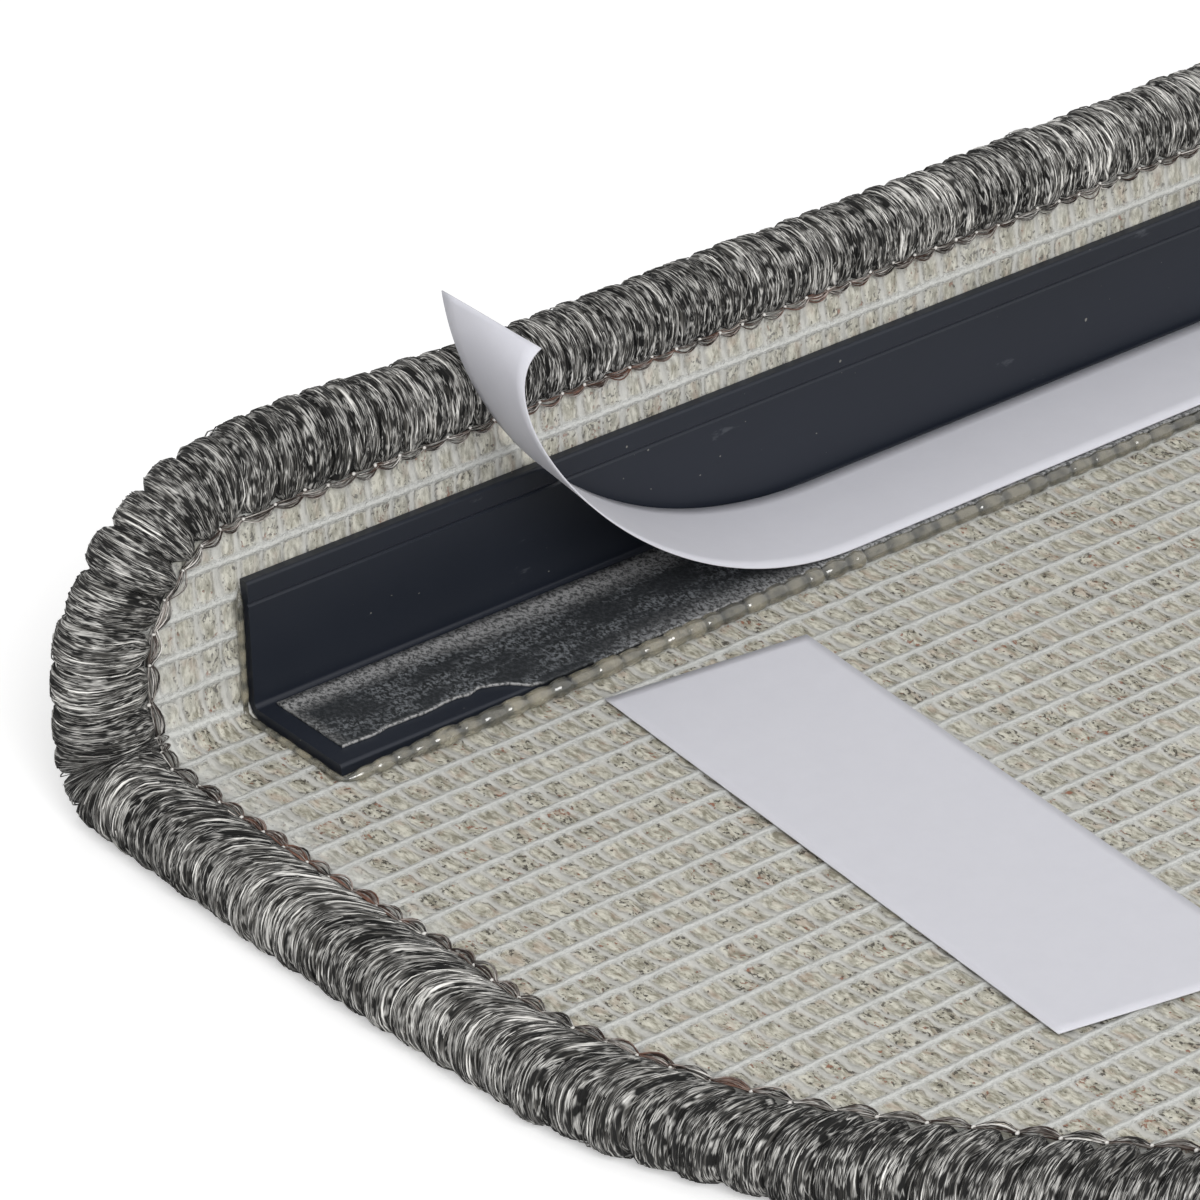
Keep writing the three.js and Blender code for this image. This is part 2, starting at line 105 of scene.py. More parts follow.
# %% The outline as a function
ANGLES = np.linspace(0, QUARTER, 400)
front_steps = np.hypot(
    np.diff(HALF_LENGTH * np.cos(ANGLES)), np.diff(FRONT_DEPTH * np.sin(ANGLES))
)
FRONT_TRAVEL = np.concatenate([[0], np.cumsum(front_steps)])
STRETCHES = [
    HALF_LENGTH - CORNER_RADIUS,
    QUARTER * CORNER_RADIUS,
    FLAP_HEIGHT - CORNER_RADIUS - FOLD_Z,
    QUARTER * (FOLD_RADIUS + THICKNESS),
    FOLD_Y - SIDE_FRONT_Y,
    FRONT_TRAVEL[-1],
]
MARKS = np.concatenate([[0], np.cumsum(STRETCHES)])
HALF_EDGE = MARKS[-1]

SEAM_INSET = 9.8
OUTER_WANDER = [
    (225, 0.0), (240, -0.3), (270, -0.4), (280, -1.2), (288, -2.3), (297, -2.3),
    (304, -1.0), (310, 0.0), (316, 0.9), (322, 1.3), (328, 0.7), (338, 0.3),
    (350, 0.35), (365, 0.3), (385, 0.45), (400, 0.7), (412, 1.1), (420, 1.0),
    (430, -0.3), (440, -0.9), (455, -1.0), (485, -0.5), (500, 0.0),
]  # fmt: skip
SEAM_WANDER = [
    (296, 0.0), (310, 0.3), (320, 0.5), (330, -0.1), (345, -0.3), (352, -0.5),
    (362, -1.0), (390, -0.8), (404, 0.0), (411, 0.4), (418, -0.6), (427, -1.4),
    (440, -1.8), (458, -2.0), (465, -1.2), (476, -0.2), (490, -0.3), (500, 0.0),
]  # fmt: skip


def read_off(table, value):
    return np.interp(value, *np.array(table).T)


RELAXED_REACH = 8.0
RELAXED_PUSH = 2.6
RELAXED_OVER = 14.0
RELAXED_DEPTH = 4.0


def relaxed(x, y, z):
    beyond = np.clip((np.abs(x) - PROFILE_HALF) / RELAXED_OVER, 0, 1)
    from_corner = np.maximum(BACKING_Y - y, z - BACKING_Z)
    near = np.clip(1 - from_corner / RELAXED_REACH, 0, 1) ** 2
    below = -np.minimum(BACKING_Y - y, z - BACKING_Z)
    push = RELAXED_PUSH * beyond * near * np.clip(1 - below / RELAXED_DEPTH, 0, 1) / math.sqrt(2)
    return np.stack(np.broadcast_arrays(x, y - push, z + push), axis=-1)


def edge_point(along, inset, depth):
    along, inset, depth = np.broadcast_arrays(along, inset, depth)
    along = (along + HALF_EDGE) % (2 * HALF_EDGE) - HALF_EDGE
    side = np.where(along < 0, -1.0, 1.0)
    travel = np.abs(along)
    outer_wander = read_off(OUTER_WANDER, travel)
    seam_share = np.clip(inset / SEAM_INSET, 0, 1)
    inset = inset + outer_wander + (read_off(SEAM_WANDER, travel) - outer_wander) * seam_share
    part = np.clip(np.searchsorted(MARKS, travel, side="right") - 1, 0, 5)
    local = travel - MARKS[part]

    corner = QUARTER - local / CORNER_RADIUS
    radius = CORNER_RADIUS - inset
    corner_x = HALF_LENGTH - CORNER_RADIUS + radius * np.cos(corner)
    rise = CORNER_RADIUS - FLAP_TOP_SHARE * inset
    corner_z = FLAP_HEIGHT - CORNER_RADIUS + rise * np.sin(corner)
    bend = QUARTER * (1 - local / STRETCHES[3])
    bend_radius = FOLD_RADIUS + depth
    front = np.interp(local, FRONT_TRAVEL, ANGLES)
    front_x = (HALF_LENGTH - inset) * np.cos(front)
    front_y = SIDE_FRONT_Y - (FRONT_DEPTH - inset) * np.sin(front)

    parts = [part == number for number in range(6)]
    outer = HALF_LENGTH - inset
    back_y = BACKING_Y + depth
    low_z = BACKING_Z - depth
    bend_y = FOLD_Y + bend_radius * np.sin(bend)
    bend_z = FOLD_Z - bend_radius * np.cos(bend)
    flap_z = FLAP_HEIGHT - CORNER_RADIUS - local
    x = np.select(parts, [travel, corner_x, outer, outer, outer, front_x])
    y = np.select(parts, [back_y, back_y, back_y, bend_y, FOLD_Y - local, front_y])
    top_z = FLAP_HEIGHT - FLAP_TOP_SHARE * inset
    z = np.select(parts, [top_z, corner_z, flap_z, bend_z, low_z, low_z])
    return relaxed(side * x, y, z)


print("edge length", round(2 * HALF_EDGE), "mm")

# %% [markdown]
# ## Helpers for modelling
# Each new piece starts as a primitive and is shaped in edit mode. These helpers clear
# the selection, pick faces or edges by a mask, read and fill a mesh's points, lay a flat
# grid, and close a piece off: normals out, smooth shading, material, body and replaced
# nodes.

# %% Modelling helpers
def deselect():
    if bpy.context.object and bpy.context.object.mode != "OBJECT":
        bpy.ops.object.mode_set(mode="OBJECT")
    bpy.ops.object.select_all(action="DESELECT")


def edit(piece, kind="FACE", chosen=None):
    deselect()
    piece.select_set(True)
    bpy.context.view_layer.objects.active = piece
    bpy.ops.object.mode_set(mode="EDIT")
    bpy.ops.mesh.select_mode(type=kind)
    bpy.ops.mesh.select_all(action="SELECT" if chosen is None else "DESELECT")
    if chosen is not None:
        bpy.ops.object.mode_set(mode="OBJECT")
        parts = {"FACE": "polygons", "EDGE": "edges", "VERT": "vertices"}[kind]
        getattr(piece.data, parts).foreach_set("select", np.asarray(chosen, bool))
        bpy.ops.object.mode_set(mode="EDIT")


def close():
    bpy.ops.object.mode_set(mode="OBJECT")


def points_of(piece):
    flat = np.empty(3 * len(piece.data.vertices))
    piece.data.vertices.foreach_get("co", flat)
    return flat.reshape(-1, 3)


def fill_points(piece, points):
    piece.data.vertices.foreach_set("co", np.ascontiguousarray(points).ravel())
    piece.data.update()


def laid_grid(name, columns, rows):
    deselect()
    bpy.ops.mesh.primitive_grid_add(x_subdivisions=columns, y_subdivisions=rows, size=1)
    piece = bpy.context.object
    piece.name = piece.data.name = name
    return piece, points_of(piece)[:, :2] + 0.5


def edge_ends(piece):
    ends = np.empty(2 * len(piece.data.edges), int)
    piece.data.edges.foreach_get("vertices", ends)
    points = points_of(piece)
    return points[ends[0::2]], points[ends[1::2]]


def corner_vertices(mesh):
    corners = np.empty(len(mesh.loops), int)
    mesh.loops.foreach_get("vertex_index", corners)
    return corners


def add_uv(mesh, name, values):
    layer = mesh.uv_layers.new(name=name)
    layer.data.foreach_set("uv", values[corner_vertices(mesh)].ravel())


def add_values(mesh, name, values):
    mesh.attributes.new(name, "FLOAT", "POINT").data.foreach_set("value", values)


def triangles(piece):
    piece.data.calc_loop_triangles()
    return len(piece.data.loop_triangles)


def complete(piece, material, slot, *nodes):
    edit(piece)
    bpy.ops.mesh.normals_make_consistent(inside=False)
    close()
    piece.data.shade_smooth()
    piece.data.materials.clear()
    piece.data.materials.append(material)
    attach(piece, "root")
    if nodes:
        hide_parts(*nodes)
    print(piece.name, triangles(piece), "triangles")


# %% [markdown]
# ## Helpers for materials
# A material is a small tree of nodes. Writing each node on one line keeps a finish
# readable. Effects that several finishes share become node groups with their own
# inputs, built once and placed with other values in each material.

# %% Shader helpers
def put(tree, kind, *values, **settings):
    made = tree.nodes.new("ShaderNode" + kind)
    for name, value in settings.items():
        setattr(made, name, value)
    for socket, value in zip(made.inputs, values):
        if isinstance(value, bpy.types.NodeSocket):
            tree.links.new(value, socket)
        elif value is not None:
            socket.default_value = value
    return made


def maths(tree, operation, *values):
    return put(tree, "Math", *values, operation=operation).outputs[0]


def vector_maths(tree, operation, *values):
    return put(tree, "VectorMath", *values, operation=operation).outputs[0]


def step(tree, value, start, end, low=0.0, high=1.0):
    made = put(tree, "MapRange", value, start, end, low, high, interpolation_type="SMOOTHSTEP")
    return made.outputs[0]


def stored(tree, name):
    return put(tree, "Attribute", attribute_name=name).outputs["Fac"]


def uv_map(tree, name):
    return put(tree, "UVMap", uv_map=name).outputs[0]


def own_place(tree):
    return put(tree, "TexCoord").outputs["Object"]


def scaled(tree, place, *scale, turn=None):
    return put(tree, "Mapping", place, None, turn, scale).outputs[0]


def noise(tree, vector, scale, detail=2.0, roughness=0.5):
    return put(tree, "TexNoise", vector, None, scale, detail, roughness).outputs["Fac"]


def mixed(tree, share, first, second):
    made = tree.nodes.new("ShaderNodeMix")
    made.data_type = "RGBA"
    for number, value in ((0, share), (6, first), (7, second)):
        if isinstance(value, bpy.types.NodeSocket):
            tree.links.new(value, made.inputs[number])
        else:
            made.inputs[number].default_value = value
    return made.outputs[2]


def colour(red, green, blue):
    def linear(value):
        value = value / 255
        return value / 12.92 if value <= 0.04045 else ((value + 0.055) / 1.055) ** 2.4

    return (linear(red), linear(green), linear(blue), 1.0)


def new_group(name, inputs, outputs):
    tree = bpy.data.node_groups.new(name, "ShaderNodeTree")
    for title, kind in inputs.items():
        tree.interface.new_socket(title, in_out="INPUT", socket_type="NodeSocket" + kind)
    for title, kind in outputs.items():
        tree.interface.new_socket(title, in_out="OUTPUT", socket_type="NodeSocket" + kind)
    return tree, tree.nodes.new("NodeGroupInput").outputs, tree.nodes.new("NodeGroupOutput").inputs


def place_group(tree, group, **values):
    made = tree.nodes.new("ShaderNodeGroup")
    made.node_tree = group
    for title, value in values.items():
        socket = made.inputs[title]
        if isinstance(value, bpy.types.NodeSocket):
            tree.links.new(value, socket)
        else:
            socket.default_value = value
    return made.outputs


def finish(name, **constants):
    material = bpy.data.materials.new(name)
    material.use_nodes = True
    tree = material.node_tree
    shader = tree.nodes["Principled BSDF"]
    for title, value in constants.items():
        shader.inputs[title.replace("_", " ")].default_value = value
    return material, tree, shader


def feed(tree, shader, **sockets):
    for title, value in sockets.items():
        tree.links.new(value, shader.inputs[title.replace("_", " ")])


def bump(tree, height, distance, strength):
    made = tree.nodes.new("ShaderNodeBump")
    made.inputs["Strength"].default_value = strength
    made.inputs["Distance"].default_value = distance * MM
    tree.links.new(height, made.inputs["Height"])
    return made.outputs[0]


# %% [markdown]
# ## Camera
# The camera stands where the photograph was taken from: low over the left front of the
# mat, with a long lens, so the rows of the weave stay nearly parallel.

# %% Camera at the photograph's place
CAMERA_PLACE = (-626.09, -381.33, 353.58)
CAMERA_TURN = (60.3446, 1.7011, -37.9273)
CAMERA_LENS = 193.46

camera_data = bpy.data.cameras.new("camera")
camera_data.lens = CAMERA_LENS
camera_data.sensor_width = 36
camera_data.clip_start = 0.01
camera_data.clip_end = 20
camera = bpy.data.objects.new("camera", camera_data)
camera.location = [value * MM for value in CAMERA_PLACE]
camera.rotation_euler = [math.radians(angle) for angle in CAMERA_TURN]
bpy.context.collection.objects.link(camera)
bpy.context.scene.camera = camera
bpy.context.scene.view_settings.view_transform = "Standard"
print("camera lens", CAMERA_LENS)

# %% [markdown]
# ## Weave pattern as a node group
# The backing shows long warp lines along the mat, smoothed by the latex, and between
# them upright weft ribs with the pile yarn's knots bulging through. An image of it would
# be quick but blurs up close. Here the pattern is worked out from a UV map that counts
# weave cells, so it stays sharp and follows the cloth through the fold.

# %% Weave cell group
def add_up(tree, first, second):
    return maths(tree, "ADD", first, second)


def times(tree, first, second):
    return maths(tree, "MULTIPLY", first, second)


def stretched(tree, vector, across, upward):
    return vector_maths(tree, "MULTIPLY", vector, (across, upward, 1.0))


def centred(tree, value, size):
    return times(tree, maths(tree, "SUBTRACT", value, 0.5), size)


def distance_to(tree, value, middle):
    return maths(tree, "ABSOLUTE", maths(tree, "SUBTRACT", value, middle))


def weave_cell_group():
    outputs = ("Knot", "Warp", "Outline", "Fleck", "Mottle", "Height")
    tree, given, made = new_group(
        "weave_cell", {"Cells": "Vector"}, {title: "Float" for title in outputs}
    )
    bent = put(tree, "TexNoise", given["Cells"], None, 1.1, 3.0, 0.5).outputs["Color"]
    bent = vector_maths(tree, "SUBTRACT", bent, (0.5, 0.5, 0.5))
    cells = vector_maths(tree, "ADD", given["Cells"], stretched(tree, bent, 0.26, 0.18))
    number = vector_maths(tree, "FLOOR", cells)
    chance = put(tree, "TexWhiteNoise", number, noise_dimensions="2D").outputs["Color"]
    chances = put(tree, "SeparateXYZ", chance).outputs
    inside = put(tree, "SeparateXYZ", vector_maths(tree, "FRACTION", cells)).outputs
    upward = maths(tree, "SUBTRACT", inside[1], 0.5)
    across = add_up(tree, maths(tree, "SUBTRACT", inside[0], 0.5), times(tree, upward, 0.2))
    across = add_up(tree, across, centred(tree, chances[0], 0.12))

    wide = maths(tree, "DIVIDE", across, add_up(tree, times(tree, chances[1], 0.1), 0.31))
    sides = (wide, times(tree, upward, 2.35))
    powers = [maths(tree, "POWER", maths(tree, "ABSOLUTE", side), 2.6) for side in sides]
    reach = maths(tree, "POWER", add_up(tree, *powers), 0.385)
    fray = centred(tree, noise(tree, stretched(tree, cells, 1.0, 1.4), 6.0, 4.0, 0.65), 1.0)
    frayed = add_up(tree, reach, times(tree, fray, 0.7))
    knot = step(tree, frayed, 1.38, 0.6)

    from_middle = maths(tree, "ABSOLUTE", upward)
    to_line = distance_to(tree, from_middle, 0.5)
    fuzz = centred(tree, noise(tree, stretched(tree, cells, 1.0, 1.8), 9.0, 3.0, 0.7), 1.0)
    to_line = add_up(tree, to_line, times(tree, fuzz, 0.36))
    warp = step(tree, to_line, 0.27, 0.08)
    clear = maths(tree, "SUBTRACT", 1.0, warp)

    broken = step(tree, noise(tree, cells, 2.7, 3.0, 0.6), 0.49, 0.6)
    ring = step(tree, distance_to(tree, frayed, 1.0), 0.16, 0.03)
    outline = times(tree, times(tree, ring, broken), clear)

    specks = noise(tree, stretched(tree, cells, 1.0, 1.35), 6.4, 4.0, 0.62)
    specks = maths(tree, "SUBTRACT", specks, times(tree, chances[2], 0.1))
    specks = add_up(tree, specks, step(tree, from_middle, 0.05, 0.35, 0.0, 0.05))
    fleck = times(tree, step(tree, specks, 0.555, 0.6), step(tree, frayed, 1.35, 1.0))
    fleck = times(tree, fleck, clear)

    mottle = noise(tree, stretched(tree, cells, 1.5, 1.0), 3.4, 5.0, 0.65)
    dome = times(tree, step(tree, reach, 1.15, 0.1), 0.7)
    rib = step(tree, maths(tree, "ABSOLUTE", across), 0.34, 0.5, 0.0, 0.45)
    line = step(tree, to_line, 0.27, 0.02)
    height = maths(tree, "MAXIMUM", maths(tree, "MAXIMUM", dome, rib), line)
    ditch = maths(tree, "MAXIMUM", outline, fleck)
    height = maths(tree, "SUBTRACT", height, times(tree, ditch, 0.35))
    height = add_up(tree, height, times(tree, noise(tree, cells, 8.0, 4.0, 0.6), 0.4))
    for title, value in zip(outputs, (knot, warp, outline, fleck, mottle, height)):
        tree.links.new(value, made[title])
    return tree


WEAVE_CELL = weave_cell_group()
print("weave group nodes", len(WEAVE_CELL.nodes))

# %% [markdown]
# ## Finish of the backing
# Latex binds the back of the carpet and dries milky on the warp lines and ribs. The
# knots keep the pile yarn's beige, and dark and rusty fibres show where it turns over.
# Two values stored on the mesh change it: "margin", on the flap and beside the seam,
# makes it whiter, and "hem", under the whipping, makes it greyer.

# %% Backing material
WEFT_PITCH = 2.83
WARP_PITCH = 4.5


def backing_finish():
    material, tree, shader = finish("latexed_backing", Specular_IOR_Level=0.35)
    cells = uv_map(tree, "weave")
    weave = place_group(tree, WEAVE_CELL, Cells=cells)
    latex = mixed(tree, weave["Mottle"], colour(162, 161, 155), colour(217, 216, 210))
    mottled = step(tree, weave["Mottle"], 0.34, 0.66)
    yarn = mixed(tree, mottled, colour(136, 132, 116), colour(212, 209, 195))
    pinkish = step(tree, noise(tree, cells, 1.7, 3.0), 0.52, 0.68, 0.0, 0.4)
    yarn = mixed(tree, pinkish, yarn, colour(184, 160, 143))
    cloth = mixed(tree, weave["Knot"], latex, yarn)
    cloth = mixed(tree, times(tree, weave["Outline"], 0.42), cloth, colour(104, 96, 82))
    rusty = step(tree, noise(tree, cells, 1.3, 2.0), 0.54, 0.6)
    dirt = mixed(tree, rusty, colour(52, 46, 40), colour(142, 92, 70))
    cloth = mixed(tree, times(tree, weave["Fleck"], 0.85), cloth, dirt)
    smooth = mixed(tree, weave["Mottle"], colour(194, 195, 190), colour(232, 233, 230))
    cloth = mixed(tree, times(tree, weave["Warp"], 0.9), cloth, smooth)
    margin = stored(tree, "margin")
    cloth = mixed(tree, times(tree, margin, 0.8), cloth, smooth)
    hem = stored(tree, "hem")
    greyed = mixed(tree, weave["Mottle"], colour(88, 88, 86), colour(190, 190, 187))
    cloth = mixed(tree, hem, cloth, greyed)
    feed(tree, shader, Base_Color=cloth)
    feed(tree, shader, Roughness=step(tree, weave["Warp"], 0.0, 1.0, 0.8, 0.5))
    feed(tree, shader, Normal=bump(tree, weave["Height"], 0.45, 0.68))
    return material


BACKING = backing_finish()
print("material", BACKING.name)

# %% [markdown]
# ## Finish of the pile
# The side that is walked on is a low loop pile of melange yarn: warm grey loops with
# darker and lighter ones between them, and fine fibres along each loop.

# %% Pile material
def pile_finish():
    material, tree, shader = finish("loop_pile", Roughness=0.9, Sheen_Weight=0.25)
    cells = uv_map(tree, "weave")
    number = vector_maths(tree, "FLOOR", cells)
    chance = put(tree, "TexWhiteNoise", number, noise_dimensions="2D").outputs["Value"]
    fibre = noise(tree, stretched(tree, cells, 9.0, 2.2), 1.6, 3.0, 0.6)
    yarn = mixed(tree, chance, colour(116, 111, 103), colour(176, 170, 157))
    patches = step(tree, noise(tree, cells, 0.09, 3.0), 0.35, 0.65, 0.0, 0.35)
    yarn = mixed(tree, patches, yarn, colour(132, 126, 118))
    yarn = mixed(tree, step(tree, fibre, 0.35, 0.75, 0.55, 0.0), yarn, colour(70, 66, 61))
    feed(tree, shader, Base_Color=yarn, Normal=bump(tree, fibre, 0.35, 0.8))
    return material


PILE = pile_finish()
print("material", PILE.name)

# %% [markdown]
# ## The carpet, as two closed layers
# The carpet could be one thick block with a bump map, but its edges and its ridges show
# in a low light. So the woven backing and the pile are modelled as two slabs with real
# relief. Each starts as a flat grid with one face to a weave cell, is trimmed to the
# outline, extruded to a slab, cut finer on its outer face only, and folded last.

# %% Fold and trim
def fold(flat_x, flat_v, depth):
    bend_length = QUARTER * FOLD_RADIUS
    bend = np.clip(flat_v, 0, bend_length) / FOLD_RADIUS
    radius = FOLD_RADIUS + depth
    y = FOLD_Y + np.minimum(flat_v, 0) + radius * np.sin(bend)
    z = FOLD_Z - radius * np.cos(bend) + np.maximum(flat_v - bend_length, 0)
    return relaxed(flat_x, y, z)


FLAP_TOP_V = QUARTER * FOLD_RADIUS + FLAP_HEIGHT - FOLD_Z
FLAP_CORNER_V = FLAP_TOP_V - CORNER_RADIUS
SIDE_V = SIDE_FRONT_Y - FOLD_Y
JUST_BELOW = -0.01
ALIKE = 0.01


def inside_outline(flat_x, flat_v, inset):
    half, depth, radius = HALF_LENGTH - inset, FRONT_DEPTH - inset, CORNER_RADIUS - inset
    past_front = np.minimum(flat_v - SIDE_V, 0)
    front = (flat_x / half) ** 2 + (past_front / depth) ** 2 <= 1
    past_side = np.maximum(np.abs(flat_x) - (HALF_LENGTH - CORNER_RADIUS), 0)
    past_corner = np.maximum(flat_v - FLAP_CORNER_V, 0)
    rise = CORNER_RADIUS - FLAP_TOP_SHARE * inset
    corner = (past_side / radius) ** 2 + (past_corner / rise) ** 2 <= 1
    return front & corner


print("flap corner starts", round(FLAP_CORNER_V, 1), "mm past the start of the bend")

# %% [markdown]
# ### A flat slab to start from
# Both layers start the same way, so the steps are one function. Its numbers of cuts say
# how fine the outer face gets along and across the mat.

# %% One woven layer
CARPET_INSET = 5.2
FIRST_WARP_V = -WARP_PITCH / 2


def flat_slab(name, thickness, cuts_along, cuts_across):
    columns = 2 * math.ceil(HALF_LENGTH / WEFT_PITCH)
    rows_front = math.ceil((FOLD_Y - FRONT_Y) / WARP_PITCH)
    rows_back = math.ceil(FLAP_TOP_V / WARP_PITCH)
    rows = rows_front + rows_back
    slab = laid_grid(name, columns, rows)[0]
    flat = points_of(slab)
    flat[:, 0] *= columns * WEFT_PITCH
    flat[:, 1] = (flat[:, 1] + 0.5) * rows * WARP_PITCH - rows_front * WARP_PITCH + FIRST_WARP_V
    fill_points(slab, flat)

    centres = np.empty(3 * len(slab.data.polygons))
    slab.data.polygons.foreach_get("center", centres)
    centres = centres.reshape(-1, 3)
    edit(slab, "FACE", ~inside_outline(centres[:, 0], centres[:, 1], CARPET_INSET))
    bpy.ops.mesh.delete(type="FACE")
    bpy.ops.mesh.select_all(action="SELECT")
    bpy.ops.mesh.extrude_region_move(TRANSFORM_OT_translate={"value": (0, 0, -thickness)})
    close()
    for axis, cuts in ((1, cuts_across), (0, cuts_along)):
        first, second = edge_ends(slab)
        level = (first[:, 2] > JUST_BELOW) & (second[:, 2] > JUST_BELOW)
        edit(slab, "EDGE", level & (np.abs(first[:, 1 - axis] - second[:, 1 - axis]) < ALIKE))
        bpy.ops.mesh.subdivide(number_cuts=cuts)
        close()
    return slab


def weave_coordinates(flat):
    return np.stack([flat[:, 0] / WEFT_PITCH, (flat[:, 1] - FIRST_WARP_V) / WARP_PITCH], axis=-1)


# %% [markdown]
# ### The backing's relief
# On the outer face the warp lines stand highest, the knots bulge in the middle of each
# cell, and the ribs and the ditches beside the lines lie lower. Points next to a line
# are moved closer to it, so that the line stays narrow.

# %% Woven backing
BACKING_THICKNESS = 1.3
WARP_LINE_SHARE = 0.17
RIB_DEPTHS = np.array([0.0, 0.2, 0.38, 0.2])
KNOT_DEPTHS = np.array([0.0, 0.2, 0.12, 0.2])
MARGIN_INSET = 12.5
HEM_INSET = 9.6
FLAP_WHITENESS = 0.4
HEM_GREYNESS = 0.85

backing = flat_slab("carpet_backing", BACKING_THICKNESS, 1, 3)
flat = points_of(backing)
top = flat[:, 2] > JUST_BELOW
cells = weave_coordinates(flat)
add_uv(backing.data, "weave", cells)
row = np.round((cells[:, 1] % 1) * 4).astype(int) % 4
on_knot = np.round((cells[:, 0] % 1) * 2).astype(int) % 2 == 1

beside_line = (row == 1) * 1.0 - (row == 3) * 1.0
flat[:, 1] += np.where(top, (WARP_LINE_SHARE - 0.25) * WARP_PITCH * beside_line, 0)
relief = np.where(on_knot, KNOT_DEPTHS[row], RIB_DEPTHS[row])
on_knots, on_ribs = rng.normal(0, 0.06, len(flat)), rng.normal(0, 0.03, len(flat))
relief += np.where(on_knot, on_knots, on_ribs)
depth = np.where(top, relief, -flat[:, 2])
jitter = np.where(top & on_knot, rng.normal(0, 0.12, len(flat)), 0)
fill_points(backing, fold(flat[:, 0] + jitter, flat[:, 1], depth) * MM)

near_edge = ~inside_outline(flat[:, 0], flat[:, 1], MARGIN_INSET) & (flat[:, 1] > SIDE_V)
on_flap = (flat[:, 1] > 2 * FOLD_RADIUS) * FLAP_WHITENESS
margin = np.maximum(near_edge, on_flap) * rng.uniform(0.2, 1.0, len(flat))
add_values(backing.data, "margin", margin)
hem = ~inside_outline(flat[:, 0], flat[:, 1], HEM_INSET) * HEM_GREYNESS
add_values(backing.data, "hem", hem)
complete(backing, BACKING, "carpet", "carpet")

# %% [markdown]
# ### The pile's relief
# The pile has one loop to each weave cell, on the other side of the same cloth. The slab
# is made upside down and its loops are raised in the middle of each cell. In the bend
# its inner face keeps further off, so that the two layers don't cut into each other.

# %% Loop pile
PILE_TOP = 1.1
PILE_LOOP = 0.9
PILE_SET_BACK = 0.4
PILE_BEND = 1.6

pile = flat_slab("carpet_pile", THICKNESS - PILE_TOP - PILE_SET_BACK, 1, 1)
flat = points_of(pile)
outer = flat[:, 2] > JUST_BELOW
cells = weave_coordinates(flat)
add_uv(pile.data, "weave", cells)
half = np.round((cells % 1) * 2).astype(int) % 2
raised = half[:, 0] * half[:, 1] + 0.35 * (half[:, 0] != half[:, 1])
uneven = rng.normal(0, 0.12, len(flat))
loop = THICKNESS - PILE_SET_BACK - PILE_LOOP * (1 - raised) + uneven
jitter = rng.normal(0, 0.15, (2, len(flat))) * outer
near_bend = np.clip(1 - np.abs(flat[:, 1] - QUARTER * FOLD_RADIUS / 2) / 9, 0, 1)
pile_top = PILE_TOP + PILE_BEND * np.minimum(near_bend * 2, 1)
depth = np.where(outer, loop, pile_top)
fill_points(pile, fold(flat[:, 0] + jitter[0], flat[:, 1] + jitter[1], depth) * MM)
complete(pile, PILE, "carpet")

# %% [markdown]
# ## Fine filaments as a node group
# Whipping yarn and sewing thread are bundles of hair-fine filaments that wander and
# cross. Both finishes use the same effect: noise stretched along the yarn. Where its
# value passes a half it draws long thin lines, used for bright hairs and for dark gaps.
# The bright hairs are painted highlights, glints on single filaments, and the dark gaps
# are painted shade between them.

# %% Filament group
def filament_group():
    tree, given, made = new_group(
        "fine_filaments",
        {"Strand": "Vector", "Fineness": "Float"},
        {"Body": "Float", "Broad": "Float", "HairGlint": "Float", "ShadedGap": "Float"},
    )
    sides = put(tree, "SeparateXYZ", given["Strand"]).outputs
    slow = stretched(tree, given["Strand"], 0.3, 0.13)
    across = add_up(tree, sides[0], centred(tree, noise(tree, slow, 1.0, 1.0), 0.9))

    def lines(slant, fineness, start, length):
        slanted = add_up(tree, across, times(tree, sides[1], slant))
        wide = times(tree, times(tree, slanted, given["Fineness"]), fineness)
        far = add_up(tree, maths(tree, "DIVIDE", sides[1], length), start)
        return noise(tree, put(tree, "CombineXYZ", wide, far, start).outputs[0], 1.0, 1.0, 0.5)

    def thin(value, width):
        return step(tree, distance_to(tree, value, 0.5), width, 0.0)

    # Bright hairs: painted highlights, the glints on single filaments.
    hair_glints = [thin(lines(0.1, 1.0, 7.0, 9.0), 0.06), thin(lines(-0.12, 0.9, 19.0, 8.0), 0.055)]
    hair_glint = maths(tree, "MAXIMUM", *hair_glints)
    broken = step(tree, lines(0.0, 0.5, 71.0, 1.6), 0.42, 0.6)
    tree.links.new(lines(0.03, 1.2, 0.0, 7.0), made["Body"])
    tree.links.new(lines(-0.03, 0.5, 53.0, 12.0), made["Broad"])
    tree.links.new(times(tree, hair_glint, broken), made["HairGlint"])
    # Dark gaps: painted shade between the filaments.
    tree.links.new(thin(lines(0.05, 0.95, 31.0, 6.0), 0.075), made["ShadedGap"])
    return tree


FILAMENTS = filament_group()
print("filament group nodes", len(FILAMENTS.nodes))
